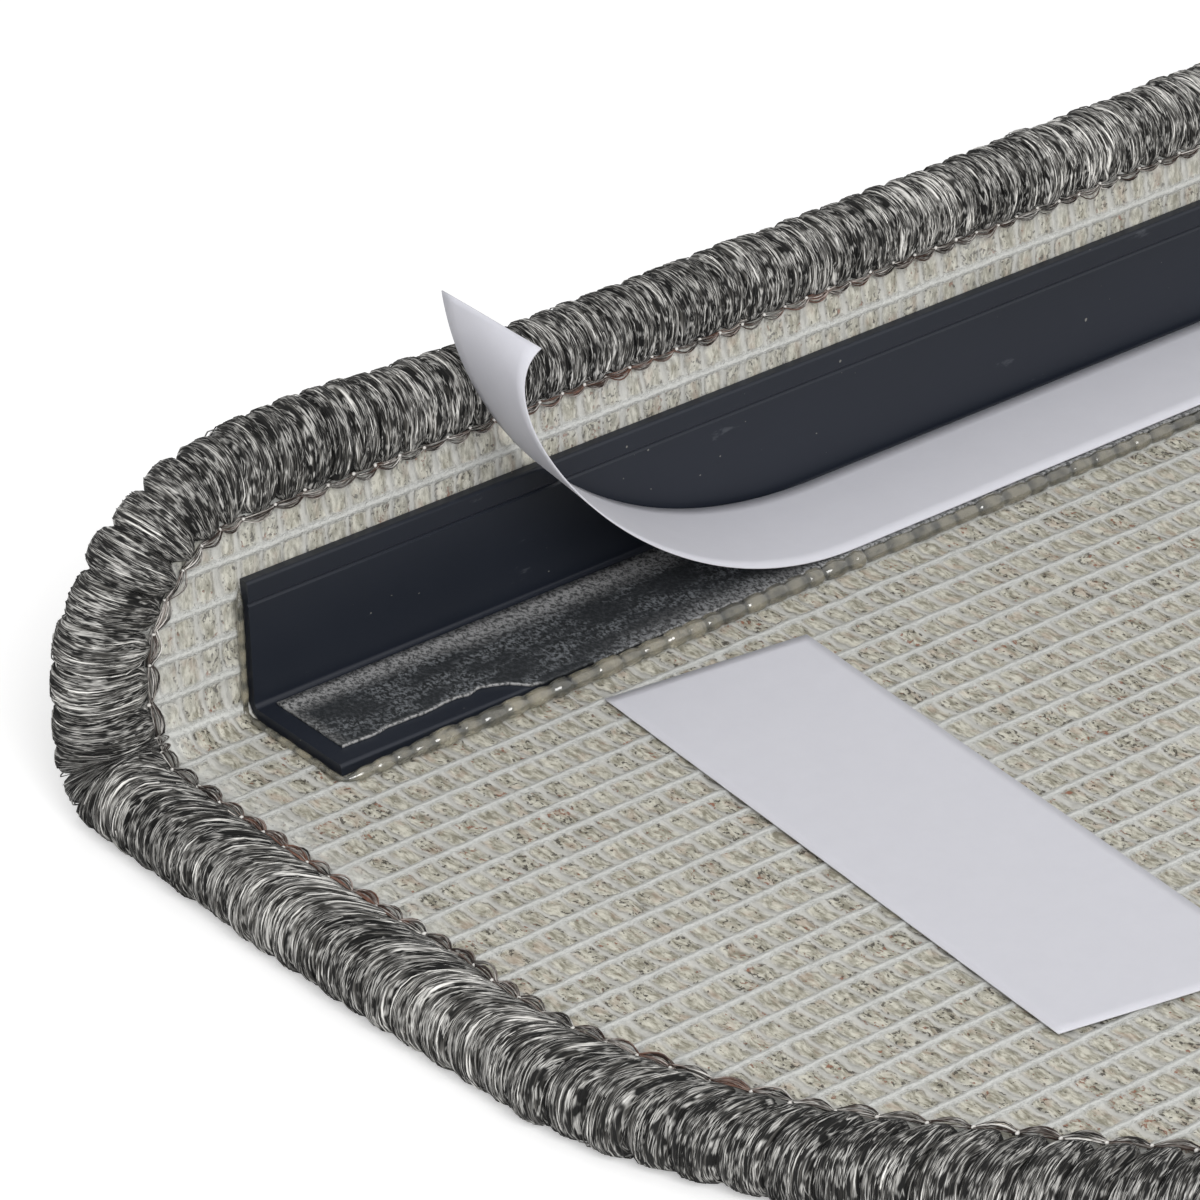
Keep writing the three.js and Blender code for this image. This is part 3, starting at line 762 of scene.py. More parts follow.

# %% [markdown]
# ## Finish of the yarn and the thread
# The whipping yarn is a shiny grey melange. Every bundle and strand has its own tone,
# stored on the mesh, and along the whipping painted light and shade are added to it. The
# filaments give it dark gaps of painted shade and bright hairs of painted highlight, and
# the pale end of its streaks is partly painted highlight. The chain's thread is finer,
# and turns brown along some stretches.

# %% Yarn and thread materials
def yarn_finish(name, dark_and_shade, middle, pale_and_highlight, roughness, fineness):
    material, tree, shader = finish(name, Specular_IOR_Level=0.45)
    strand = uv_map(tree, "strand")
    tone = stored(tree, "tone")
    fibres = place_group(tree, FILAMENTS, Strand=strand, Fineness=fineness)
    level = add_up(tree, centred(tree, fibres["Body"], 4.2), centred(tree, fibres["Broad"], 1.1))
    level = add_up(tree, level, tone)
    # The streaks run from dark to pale: partly melange, partly painted shade and painted
    # highlight.
    shade = mixed(tree, step(tree, level, 0.06, 0.7), dark_and_shade, middle)
    shade = mixed(tree, step(tree, level, 0.62, 1.3), shade, pale_and_highlight)
    # Painted shade in the filament gaps, painted highlight on the hairs.
    shade = mixed(tree, times(tree, fibres["ShadedGap"], 0.85), shade, dark_and_shade)
    shade = mixed(tree, times(tree, fibres["HairGlint"], 0.62), shade, pale_and_highlight)
    feed(tree, shader, Base_Color=shade)
    lit = add_up(tree, level, maths(tree, "SUBTRACT", fibres["HairGlint"], fibres["ShadedGap"]))
    feed(tree, shader, Roughness=step(tree, lit, 0.0, 0.9, 0.9, roughness))
    height = add_up(tree, fibres["Body"], times(tree, fibres["HairGlint"], 0.4))
    height = maths(tree, "SUBTRACT", height, times(tree, fibres["ShadedGap"], 0.6))
    height = add_up(tree, height, times(tree, fibres["Broad"], 1.2))
    feed(tree, shader, Normal=bump(tree, height, 0.2, 0.9))
    return material, tree, shader, shade


YARN = yarn_finish(
    "whipping_yarn", colour(8, 8, 7), colour(84, 82, 78), colour(246, 244, 239), 0.36, 3.2
)[0]
THREAD, tree, shader, shade = yarn_finish(
    "chain_thread", colour(26, 24, 22), colour(134, 130, 124), colour(236, 233, 228), 0.42, 5.0
)
place = own_place(tree)
brown = stored(tree, "brown")
brown = times(tree, brown, step(tree, noise(tree, place, 260.0, 2.0), 0.34, 0.6))
feed(tree, shader, Base_Color=mixed(tree, brown, shade, colour(138, 96, 78)))
print("materials", YARN.name, THREAD.name)

# %% [markdown]
# ## Rolled grids and tubes to copy
# The whipping goes over the cut edge in bundles, each sewn down at its own stitch, with
# loose strands lying across them. A particle hair system can't be exported, so meshes
# stand in for it: a grid that is rolled round the edge and closed makes the bundles, and
# a short tube is copied for the strands, each with its own place, lean, lift and tone.

# %% Tubes and rolled grids
def tube_pattern(name, sides, cuts, tip):
    deselect()
    bpy.ops.mesh.primitive_cylinder_add(vertices=sides, radius=1, depth=1, location=(0, 0, 0))
    pattern = bpy.context.object
    pattern.name = pattern.data.name = name
    first, second = edge_ends(pattern)
    edit(pattern, "EDGE", np.abs(first[:, 2] - second[:, 2]) > 0.5)
    bpy.ops.mesh.subdivide(number_cuts=cuts)
    close()
    edit(pattern, "VERT", np.abs(points_of(pattern)[:, 2]) > 0.49)
    bpy.ops.transform.resize(value=(tip, tip, 1))
    close()
    return pattern, points_of(pattern)


def close_roll(piece):
    edit(piece)
    bpy.ops.mesh.remove_doubles(threshold=0.000001)
    bpy.ops.mesh.select_all(action="SELECT")
    bpy.ops.mesh.fill_holes(sides=0)
    close()


def copies(name, pattern, points):
    count, each = points.shape[:2]
    source = pattern.data
    corners = corner_vertices(source)
    starts = np.empty(len(source.polygons), int)
    source.polygons.foreach_get("loop_start", starts)
    numbers = np.arange(count)[:, None]
    mesh = bpy.data.meshes.new(name)
    mesh.vertices.add(count * each)
    mesh.vertices.foreach_set("co", (points * MM).ravel())
    mesh.loops.add(count * len(corners))
    mesh.loops.foreach_set("vertex_index", (corners + each * numbers).ravel())
    mesh.polygons.add(count * len(starts))
    mesh.polygons.foreach_set("loop_start", (starts + len(corners) * numbers).ravel())
    mesh.update(calc_edges=True)
    mesh.validate()
    piece = bpy.data.objects.new(name, mesh)
    bpy.context.collection.objects.link(piece)
    return piece


# %% [markdown]
# ### Section of the whipping
# Seen end on, the whipping starts at the chain stitch, swells over the backing, rounds
# the edge and comes back under the pile. The curve is smoothed by cutting its corners.

# %% Section curve
SECTION = np.array([
    (9.9, -0.2), (9.4, -0.5), (8.6, -0.7), (7.0, -0.85), (4.8, -0.75), (2.9, -0.2),
    (1.5, 1.1), (1.0, 2.8), (1.25, 4.5), (2.4, 5.7), (4.4, 6.2), (7.0, 6.2), (9.6, 5.9),
])  # fmt: skip


def smoothed(line, rounds):
    for _ in range(rounds):
        first = 0.75 * line[:-1] + 0.25 * line[1:]
        second = 0.25 * line[:-1] + 0.75 * line[1:]
        cut = np.stack([first, second], axis=1).reshape(-1, 2)
        line = np.concatenate([line[:1], cut, line[-1:]])
    return line


SECTION_LINE = smoothed(SECTION, 3)
SECTION_TRAVEL = np.concatenate([[0], np.cumsum(np.hypot(*np.diff(SECTION_LINE, axis=0).T))])
SECTION_LENGTH = SECTION_TRAVEL[-1]


def section_at(share, lift):
    travel = np.clip(share, 0, 1) * SECTION_LENGTH
    inset = np.interp(travel, SECTION_TRAVEL, SECTION_LINE[:, 0])
    depth = np.interp(travel, SECTION_TRAVEL, SECTION_LINE[:, 1])
    slope = np.gradient(SECTION_LINE, SECTION_TRAVEL, axis=0)
    slope_in = np.interp(travel, SECTION_TRAVEL, slope[:, 0])
    slope_down = np.interp(travel, SECTION_TRAVEL, slope[:, 1])
    size = np.hypot(slope_in, slope_down)
    return inset - lift * slope_down / size, depth + lift * slope_in / size


print("yarn goes", round(SECTION_LENGTH, 1), "mm over the edge")

# %% [markdown]
# ### Places of the stitches
# The machine sews stitches of about one length at the seam. Round the flap's corner and
# in the fold the outer edge is longer than the seam, so the bundles fan out there, and
# along the front curve the mat was pulled through faster.

# %% Stitch places
PITCH_AT = [
    (0, 3.0), (292, 3.1), (304, 4.6), (320, 5.8), (345, 5.4), (352, 6.2), (360, 4.4),
    (380, 3.7), (410, 3.9), (450, 4.5), (HALF_EDGE + 1, 4.6),
]  # fmt: skip
fine_way = np.linspace(-HALF_EDGE, HALF_EDGE, 8001)
density = 1 / read_off(PITCH_AT, np.abs(fine_way))
between = (density[1:] + density[:-1]) / 2
stitch_count = np.concatenate([[0], np.cumsum(between * np.diff(fine_way))])
BUNDLES = round(stitch_count[-1])
stitch_count *= BUNDLES / stitch_count[-1]


def way_at(number):
    turns = np.floor(number / BUNDLES)
    return np.interp(number - turns * BUNDLES, stitch_count, fine_way) + turns * 2 * HALF_EDGE


print("stitches", BUNDLES)

# %% [markdown]
# ### How a bundle runs
# A bundle is pinched at its stitch and swells over the edge until it presses against its
# neighbours. On the front the bundles lean to one side before they turn down. Where the
# machine pulled hard they stay apart for a few millimetres, and the latex shows between.
# The tables give each of these by the way along the edge from the flap's middle, and the
# last one gives painted light and shade along it.

# %% Run of a bundle
LEAN_AT = [
    (0, 0.3), (300, 0.6), (330, 0.2), (342, 0.6), (350, 2.0), (358, 4.0), (372, 5.8),
    (385, 6.5), (410, 7.5), (430, 6.0), (445, 4.0), (460, 2.5), (480, 1.5), (814, 1.5),
]  # fmt: skip
APART_AT = [
    (0, 0.2), (170, 0.2), (188, 0.08), (296, 0.07), (306, 0.15), (335, 0.12),
    (345, 0.07), (410, 0.08), (440, 0.18), (814, 0.18),
]  # fmt: skip
OPEN_AT = [
    (0, 0.7), (178, 0.7), (190, 0.1), (298, 0.1), (312, 0.5), (340, 0.2), (430, 0.1),
    (445, 0.7), (814, 0.7),
]  # fmt: skip
# Painted light and shade: lighter on the flap's top, darker at its corner and on the front.
PAINTED_LIGHT_AT = [
    (0, 0.12), (215, 0.12), (250, -0.04), (300, -0.1), (340, -0.1), (360, 0.04),
    (430, 0.0), (450, -0.24), (814, -0.24),
]  # fmt: skip
BUNDLE_HEIGHT = 1.15
TIED_SHARE = 0.14
FULL_SHARE = 0.97
UNDER_SHARE = 0.6
MEAN_TONE = 0.42

numbers = np.arange(BUNDLES)
bundle_way = np.abs(way_at(numbers + 0.5))
bundle_lean = rng.normal(0, 0.5, BUNDLES)
bundle_tone_and_light = MEAN_TONE + rng.normal(0, 0.12, BUNDLES)
bundle_tone_and_light += 0.08 * np.sin(numbers * 0.9) + 0.07 * np.sin(numbers * 0.37 + 1)
bundle_tone_and_light += read_off(PAINTED_LIGHT_AT, bundle_way)
bundle_full = 1 + rng.normal(0, 0.11, BUNDLES)
bundle_apart = read_off(APART_AT, bundle_way) * rng.uniform(0.6, 1.4, BUNDLES)
gap_open = np.clip(read_off(OPEN_AT, bundle_way) + rng.normal(0, 0.3, BUNDLES), 0, 1)


def half_width(bundle, share):
    apart = np.clip(share / bundle_apart[bundle % BUNDLES], 0, 1)
    under = UNDER_SHARE + (1 - UNDER_SHARE) * np.clip((1 - share) / 0.12, 0, 1) ** 0.7
    return (TIED_SHARE + (FULL_SHARE - TIED_SHARE) * apart**0.6) * under / 2


def arch_at(share):
    return np.clip(np.sin(math.pi * np.clip(share * 1.15, 0, 1)), 0, 1) ** 0.5


def lean_at(bundle, share):
    return bundle_lean[bundle % BUNDLES] * (share - 0.3) * np.minimum(share * 8, 1)


def sweep_at(number, share):
    lean = read_off(LEAN_AT, np.abs(way_at(number)))
    climb = np.clip(share / 0.42, 0, 1)
    return lean * climb * (2 - climb)


print("bundle tones", round(bundle_tone_and_light.min(), 2), "to", round(bundle_tone_and_light.max(), 2))

# %% [markdown]
# ### The bundles
# A tube for each bundle would be heavy, and one would see between them. So the bundles
# of a stretch are one grid, rolled round the edge like a sleeve. Its steps along the
# edge are eight over a bundle's back, and four through the valley beside it. A valley is
# painted darker as painted shade, and each bundle a little darker towards its sides. A
# valley has filaments of its own, so that they aren't smeared across it.

# %% Whipped bundles
SLEEVE_SIDES = 27
SIDE_CROWDING = 1.3
BACK_STEPS = 8
BUNDLE_STEPS = 12
VALLEY = 0.25
OPEN_VALLEY = 1.5
VALLEY_SHADE = -0.35
VALLEY_FILAMENTS = 1.6
KNOBS = 0.07
SIDE_SHADE = 0.1


def whipped_bundles(name, first, last):
    rings = (last - first) * BUNDLE_STEPS
    sleeve, grid = laid_grid(name, rings, SLEEVE_SIDES)
    turn = np.round(grid[:, 1] * SLEEVE_SIDES) % SLEEVE_SIDES
    share = (turn / (SLEEVE_SIDES - 1)) ** SIDE_CROWDING
    ring = np.round(grid[:, 0] * rings).astype(int)
    number, place = first + ring // BUNDLE_STEPS, ring % BUNDLE_STEPS
    bundle = number % BUNDLES
    over = np.clip(place / BACK_STEPS, 0, 1) * 2 - 1
    valley = np.clip((place - BACK_STEPS) / (BUNDLE_STEPS - BACK_STEPS), 0, 1)
    here, there = half_width(number, share), half_width(number + 1, share)
    along = way_at(number + 0.5 + over * here + valley * (1 - here - there))
    lean = lean_at(number, share) * (1 - valley) + lean_at(number + 1, share) * valley
    along = along + sweep_at(number + 0.5 + over / 2, share) + lean
    knobbly = 1 + KNOBS * np.sin(share * 19 + 5 * bundle_lean[bundle] + 2 * over)
    back = np.maximum(1 - over**2, 0) ** 0.42 * arch_at(share) * bundle_full[bundle] * knobbly
    near_stitch = np.clip(1 - share / bundle_apart[bundle], 0, 1) ** 0.5
    drop = (VALLEY + OPEN_VALLEY * gap_open[bundle] * near_stitch) * np.sin(math.pi * valley)
    inset, depth = section_at(share, back * BUNDLE_HEIGHT - drop)
    fill_points(sleeve, edge_point(along, inset, depth) * MM)
    across = way_at(number + 0.5 + over / 2) + VALLEY_FILAMENTS * valley
    add_uv(sleeve.data, "strand", np.stack([across, share * SECTION_LENGTH], axis=-1))
    # Painted shade: darker towards each bundle's sides, and dark in the valleys.
    tone = bundle_tone_and_light[bundle] - SIDE_SHADE * over**4
    add_values(sleeve.data, "tone", np.where(valley > 0, VALLEY_SHADE, tone))
    close_roll(sleeve)
    complete(sleeve, YARN, "edging_yarn", "edge_whipping")
    return sleeve


# %% [markdown]
# ### Loose strands
# Thin strands lie on the bundles' backs and wander a little, so some cross the valleys
# and each other, and they break up the sleeve's even outline.

# %% Loose strands
STRANDS = 12
STRAND_HALF = 0.1
STRAND_WANDER = 1.2
STRAND_RIPPLE = 0.12
STRAND_LIFT = 0.02
STRAND_TONES = 0.22
CROWDING = 0.45
strand_tube, strand_points = tube_pattern("strand_pattern", 3, 15, 0.3)


def loose_strands(name, first, last):
    bundle = np.repeat(np.arange(first, last), STRANDS)[:, None]
    count = len(bundle)
    even = strand_points[:, 2] + 0.5
    share = np.clip(even + CROWDING * np.sin(2 * math.pi * even) / (2 * math.pi), 0, 1)
    over = np.clip(rng.normal(0, 0.5, (count, 1)), -0.95, 0.95)
    drift = rng.normal(0, STRAND_WANDER, (count, 1)) * (share - rng.uniform(0.1, 0.6, (count, 1)))
    phase = rng.uniform(0, 6, (count, 1))
    ripple = STRAND_RIPPLE * np.sin(rng.uniform(5, 11, (count, 1)) * share + phase)
    along = way_at(bundle + 0.5 + over * half_width(bundle, share))
    along = along + strand_points[:, 0] * STRAND_HALF + sweep_at(bundle + 0.5, share)
    along = along + lean_at(bundle, share) + (drift + ripple) * np.minimum(share * 6, 1)
    back = np.sqrt(1 - over**2) * arch_at(share) * bundle_full[bundle % BUNDLES]
    lift = back * BUNDLE_HEIGHT + strand_points[:, 1] * STRAND_HALF + STRAND_LIFT
    inset, depth = section_at(np.broadcast_to(share, lift.shape), lift)
    piece = copies(name, strand_tube, edge_point(along, inset, depth))
    across = way_at(bundle + 0.5 + over / 2) + strand_points[:, 0] * STRAND_HALF + 41
    length = np.broadcast_to(share * SECTION_LENGTH, across.shape)
    add_uv(piece.data, "strand", np.stack([across, length], axis=-1).reshape(-1, 2))
    tone = bundle_tone_and_light[bundle % BUNDLES] + rng.normal(0, STRAND_TONES, (count, 1))
    add_values(piece.data, "tone", np.broadcast_to(tone, across.shape).ravel())
    complete(piece, YARN, "edging_yarn", "edge_whipping")
    return piece


# %% [markdown]
# ### The whole whipping
# One piece would have too many triangles, so the whipping is made in four stretches. They
# meet at the flap's middle, at the front's middle and about where the front curve starts.

# %% The whipping in four stretches
SPLIT_WAY = 400
left_split = int(np.argmax(bundle_way < SPLIT_WAY))
middle = int(np.argmin(bundle_way))
right_split = BUNDLES - left_split
stretches = {
    "front_left": (0, left_split),
    "flap_left": (left_split, middle),
    "flap_right": (middle, right_split),
    "front_right": (right_split, BUNDLES),
}
for place, (first, last) in stretches.items():
    whipped_bundles("edge_bundles_" + place, first, last)
    loose_strands("edge_strands_" + place, first, last)

# %% [markdown]
# ## Chain stitch
# At the inner side of the whipping each stitch leaves a small loop of thread that runs
# from one needle hole to the next and bows towards the backing. A few thin threads side
# by side make a loop, and one small pale thread shows in each needle hole, its paleness
# partly a painted highlight.

# %% Chain stitch
LOOP_THREADS = 7
THREAD_HALF = 0.13
FIRST_BOW = -0.2
BOW_STEP = 0.23
LOOP_LIFT = 0.3
LOOP_ARCH = 0.45
BROWN_AT = [
    (0, 0.15), (214, 0.15), (226, 0.55), (262, 0.6), (272, 0.3), (300, 0.15), (362, 0.1),
    (374, 0.7), (396, 0.75), (404, 0.2), (430, 0.15), (438, 0.5), (446, 0.5), (460, 0.1),
    (814, 0.15),
]  # fmt: skip
thread, thread_points = tube_pattern("thread_pattern", 3, 6, 0.7)

count = BUNDLES * LOOP_THREADS
loop = np.repeat(np.arange(BUNDLES), LOOP_THREADS)[:, None]
number = np.tile(np.arange(LOOP_THREADS), BUNDLES)[:, None]
share = thread_points[:, 2][None, :] + 0.5
bow = FIRST_BOW + BOW_STEP * number + rng.normal(0, 0.12, (count, 1))
arch = np.sin(math.pi * np.clip(share * 1.1 - 0.05, 0, 1)) ** 0.85
along = way_at(loop - 0.08 + share * 1.22) + rng.normal(0, 0.07, (count, 1))
turned = thread_points[:, 0][None, :] * THREAD_HALF
inset = SEAM_INSET + bow * arch + turned + rng.normal(0, 0.07, (count, 1))
lift = LOOP_LIFT + LOOP_ARCH * arch + rng.normal(0, 0.12, (count, 1))
lift = lift + thread_points[:, 1][None, :] * THREAD_HALF
chain = copies("chain_stitch_loops", thread, edge_point(along, inset, -lift))
offset = rng.random((count, 1)) * 300
chain_uv = np.stack([turned + offset, share * 4.0 + offset], axis=-1)
add_uv(chain.data, "strand", chain_uv.reshape(-1, 2))
tone = np.clip(MEAN_TONE + rng.normal(0, 0.3, (count, 1)), 0, 1)
add_values(chain.data, "tone", np.broadcast_to(tone, lift.shape).ravel())
brown = read_off(BROWN_AT, np.abs(along)) * rng.choice([0.4, 1.2], (count, 1))
add_values(chain.data, "brown", brown.ravel())
complete(chain, THREAD, "stitch_thread", "chain_stitch")

# %% [markdown]
# ### Needle thread
# The needle thread is pale, and it is painted near-white, partly as a painted highlight
# for its glint. It shows as a tiny bead where it dives into the cloth.

# %% Needle thread dots
def pale_thread_with_glint():
    material, tree, shader = finish("needle_thread", Roughness=0.4)
    place = own_place(tree)
    # Near-white: the thread's own pale colour with a painted highlight for its glint.
    shade = mixed(tree, noise(tree, place, 2500.0), colour(196, 192, 186), colour(242, 240, 236))
    feed(tree, shader, Base_Color=shade)
    return material


BEAD_RADIUS = 0.22
BEAD_HEIGHT = 0.6

deselect()
bpy.ops.mesh.primitive_ico_sphere_add(subdivisions=1, radius=BEAD_RADIUS, location=(0, 0, 0))
bead = bpy.context.object
bead_points = points_of(bead)
places = way_at(numbers[:, None]) + rng.normal(0, 0.15, (BUNDLES, 1))
squeeze = 0.7 + 0.6 * rng.random((BUNDLES, 1))
dots = copies(
    "needle_thread_dots",
    bead,
    edge_point(
        places + bead_points[:, 0] * 1.1,
        SEAM_INSET - 0.15 + bead_points[:, 1] * squeeze * 1.3 + rng.normal(0, 0.15, (BUNDLES, 1)),
        -BEAD_HEIGHT + bead_points[:, 2],
    ),
)
complete(dots, pale_thread_with_glint(), "stitch_thread")
for spare in (strand_tube, thread, bead):
    bpy.data.objects.remove(spare)

# %% [markdown]
# ## Plastic profile
# The nosing profile is an extruded strip, and the CAD shape is right as it is. It only
# gets its finish: dark blue-grey plastic with a satin face, faint draw lines along it,
# light scuffs and specks of lint.

# %% Profile material
def plastic_finish():
    material, tree, shader = finish("satin_plastic", Specular_IOR_Level=0.42)
    place = own_place(tree)
    drawn = scaled(tree, place, 30.0, 900.0, 900.0)
    lines = noise(tree, drawn, 1.0, 4.0, 0.6)
    cloudy = noise(tree, place, 18.0, 4.0, 0.6)
    shade = mixed(tree, cloudy, colour(22, 26, 34), colour(31, 36, 47))
    slanted = scaled(tree, place, 160.0, 900.0, 420.0, turn=(0.3, 0.6, 0.9))
    scuffs = step(tree, noise(tree, slanted, 1.0, 5.0, 0.7), 0.66, 0.74)
    lint = step(tree, noise(tree, place, 1400.0, 1.0), 0.78, 0.82)
    shade = mixed(tree, times(tree, scuffs, 0.18), shade, colour(120, 124, 130))
    shade = mixed(tree, times(tree, lint, 0.5), shade, colour(170, 168, 160))
    feed(tree, shader, Base_Color=shade)
    worn = add_up(tree, cloudy, times(tree, scuffs, 0.3))
    feed(tree, shader, Roughness=step(tree, worn, 0.3, 1.0, 0.36, 0.6))
    feed(tree, shader, Normal=bump(tree, lines, 0.03, 0.5))
    return material


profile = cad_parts["nosing_profile"]
profile.data.materials.clear()
profile.data.materials.append(plastic_finish())
print("profile material", profile.data.materials[0].name)

# %% [markdown]
# ## Hot glue
# The profile is stuck down with hot glue. It oozes out along the leg's front edge in
# small clear lumps, most at the left, and more thinly up the ends of the upright. A row
# of balls would look like beads, so a grid is rolled into one long string along the
# edge, which swells and narrows a little from lump to lump.

# %% Glue bead
def glue_finish():
    material, tree, shader = finish(
        "clear_glue", Roughness=0.08, Transmission_Weight=0.7, IOR=1.48, Coat_Weight=1.0
    )
    place = own_place(tree)
    cloud_and_neck_shade = stored(tree, "cloud_and_neck_shade")
    # Cloudier and paler in the lumps; darker at the necks between them as painted shade.
    cloudy = times(tree, noise(tree, place, 700.0, 3.0), cloud_and_neck_shade)
    shade = mixed(tree, step(tree, cloudy, 0.08, 0.5), colour(98, 100, 96), colour(208, 201, 180))
    feed(tree, shader, Base_Color=shade)
    feed(tree, shader, Normal=bump(tree, noise(tree, place, 1300.0, 2.0), 0.12, 0.6))
    return material


GLUE_STEP = 0.3
GLUE_SIDES = 10
GLUE_TOP = profile_high[2] - 0.6
LUMP_LENGTH = 3.0
END_SIZE = 0.4
FRONT_MORE = 0.3
LEFT_MORE = 0.35
LEFT_RISE = 12
LEFT_REACH = 90


def glue_route():
    side_x, wall_y, foot_z = PROFILE_HALF + 0.3, BACKING_Y - 0.4, BACKING_Z + 0.1
    corners = np.array(
        [
            (-side_x, wall_y, GLUE_TOP),
            (-side_x, wall_y, foot_z),
            (-side_x, LEG_FRONT_Y - 0.9, foot_z),
            (-side_x + 25, LEG_FRONT_Y - 0.6, foot_z),
            (-side_x + 60, LEG_FRONT_Y + 0.1, foot_z),
            (side_x, LEG_FRONT_Y + 0.1, foot_z),
            (side_x, wall_y, foot_z),
            (side_x, wall_y, GLUE_TOP),
        ]
    )
    lengths = np.linalg.norm(np.diff(corners, axis=0), axis=1)
    travel = np.concatenate([[0], np.cumsum(lengths)])
    at = np.linspace(0, travel[-1], round(travel[-1] / GLUE_STEP) + 1)
    route = np.stack([np.interp(at, travel, corners[:, axis]) for axis in range(3)], axis=-1)
    for _ in range(4):
        route[1:-1] = (route[:-2] + route[1:-1] + route[2:]) / 3
    return at, route, travel


at, route, marks = glue_route()
glue, grid = laid_grid("glue_bead", len(at) - 1, GLUE_SIDES)
ring = np.round(grid[:, 0] * (len(at) - 1)).astype(int)
turn = 2 * math.pi * (np.round(grid[:, 1] * GLUE_SIDES) % GLUE_SIDES) / GLUE_SIDES
heading = np.gradient(route, axis=0)
heading /= np.linalg.norm(heading, axis=1)[:, None]
on_flap = np.clip((route[:, 2] - BACKING_Z - 0.5) / 2, 0, 1)[:, None]
away = on_flap * (0, -1, 0) + (1 - on_flap) * (0, 0, 1)
sideways = np.cross(heading, away)
sideways /= np.linalg.norm(sideways, axis=1)[:, None]

lump_count = round(at[-1] / LUMP_LENGTH)
lump_place = np.cumsum(rng.uniform(0.75, 1.25, lump_count)) * LUMP_LENGTH
lump_size = rng.uniform(0.88, 1.08, lump_count + 2)
lump_at = np.interp(at, np.concatenate([[0], lump_place]), np.arange(lump_count + 1))
neck = np.abs(np.sin(math.pi * lump_at)) ** 0.5
fine = np.interp(at, np.linspace(0, at[-1], 900), rng.normal(0, 0.03, 900))
swell = (0.8 + 0.2 * neck) * lump_size[np.clip(lump_at.astype(int), 0, lump_count)] + fine
on_front = np.clip(np.minimum(at - marks[2], marks[-3] - at) / 2, 0, 1)
taper = np.clip(np.minimum(at, at[-1] - at) / 2, 0.1, 1)
from_corner = at - marks[2]
at_left = np.clip(from_corner / LEFT_RISE, 0, 1) * np.clip(2 - from_corner / LEFT_REACH, 0, 1)
thick = END_SIZE + FRONT_MORE * on_front + LEFT_MORE * at_left
size = (thick * swell * taper)[ring]
across = (np.cos(turn) + 0.75) * size
height = (np.sin(turn) * 0.95 + 0.75) * size - 0.2
glue_points = route[ring] + sideways[ring] * across[:, None] + away[ring] * height[:, None]
fill_points(glue, glue_points * MM)
# Per-lump cloudiness, and painted shade at the necks between lumps.
clouded = rng.uniform(0.3, 1, lump_count + 1)[lump_at.astype(int)]
add_values(glue.data, "cloud_and_neck_shade", (0.25 + 0.75 * neck * clouded)[ring])
close_roll(glue)
complete(glue, glue_finish(), "hot_glue", "profile_glue")

# %% [markdown]
# ## Tape on the profile
# The tape is a strip of dark fleece soaked with adhesive. Its edges are cut clean except
# at the peeled end, where the front edge has torn away and left white fibres.

# %% Tape materials and meshes
def fleece_finish():
    material, tree, shader = finish("tape_fleece", Roughness=0.7)
    place = own_place(tree)
    fine = scaled(tree, place, 2300.0, 1500.0, 1500.0, turn=(0.0, 0.0, 0.5))
    fibre = noise(tree, fine, 1.0, 4.0, 0.8)
    blotch = noise(tree, scaled(tree, place, 190.0, 420.0, 300.0), 1.0, 4.0, 0.6)
    shade = mixed(tree, step(tree, fibre, 0.45, 0.6), colour(12, 15, 18), colour(118, 122, 126))
    shade = mixed(tree, step(tree, blotch, 0.42, 0.6, 0.85, 0.0), shade, colour(22, 26, 30))
    border = stored(tree, "border")
    fuzz = times(tree, border, step(tree, fibre, 0.42, 0.56, 0.15, 1.0))
    shade = mixed(tree, fuzz, shade, colour(164, 164, 164))
    feed(tree, shader, Base_Color=shade, Normal=bump(tree, fibre, 0.12, 0.8))
    return material


def paper_finish(name, pale, shaded):
    material, tree, shader = finish(
        name, Roughness=0.55, Specular_IOR_Level=0.4, Subsurface_Weight=0.4
    )
    shader.inputs["Subsurface Radius"].default_value = (1.0, 1.0, 1.0)
    shader.inputs["Subsurface Scale"].default_value = 0.5 * MM
    place = own_place(tree)
    shade = mixed(tree, noise(tree, place, 260.0, 5.0, 0.7), shaded, pale)
    feed(tree, shader, Base_Color=shade)
    feed(tree, shader, Normal=bump(tree, noise(tree, place, 900.0, 4.0, 0.65), 0.05, 0.35))
    return material


FLEECE = fleece_finish()
LINER_PAPER = paper_finish("liner_paper", colour(214, 214, 222), colour(207, 207, 215))


def thicken(piece, thickness):
    piece.modifiers.new("Thickness", "SOLIDIFY").thickness = thickness * MM
    piece.modifiers["Thickness"].offset = 1.0
    deselect()
    piece.select_set(True)
    bpy.context.view_layer.objects.active = piece
    bpy.ops.object.modifier_apply(modifier="Thickness")


print("materials", FLEECE.name, LINER_PAPER.name)

# %% [markdown]
# ### The tape on the leg
# One grid gives its outline. The rows near the front edge lie closer together, because
# the torn edge is there. An attribute marks where the fleece is rubbed up and pale.

# %% Profile tape
TAPE_THICKNESS = 0.3
TORN_LENGTH = 20.0
TORN_END = 3.0
TORN_STRIP = 2.4
TAPE_FORWARD = 0.9

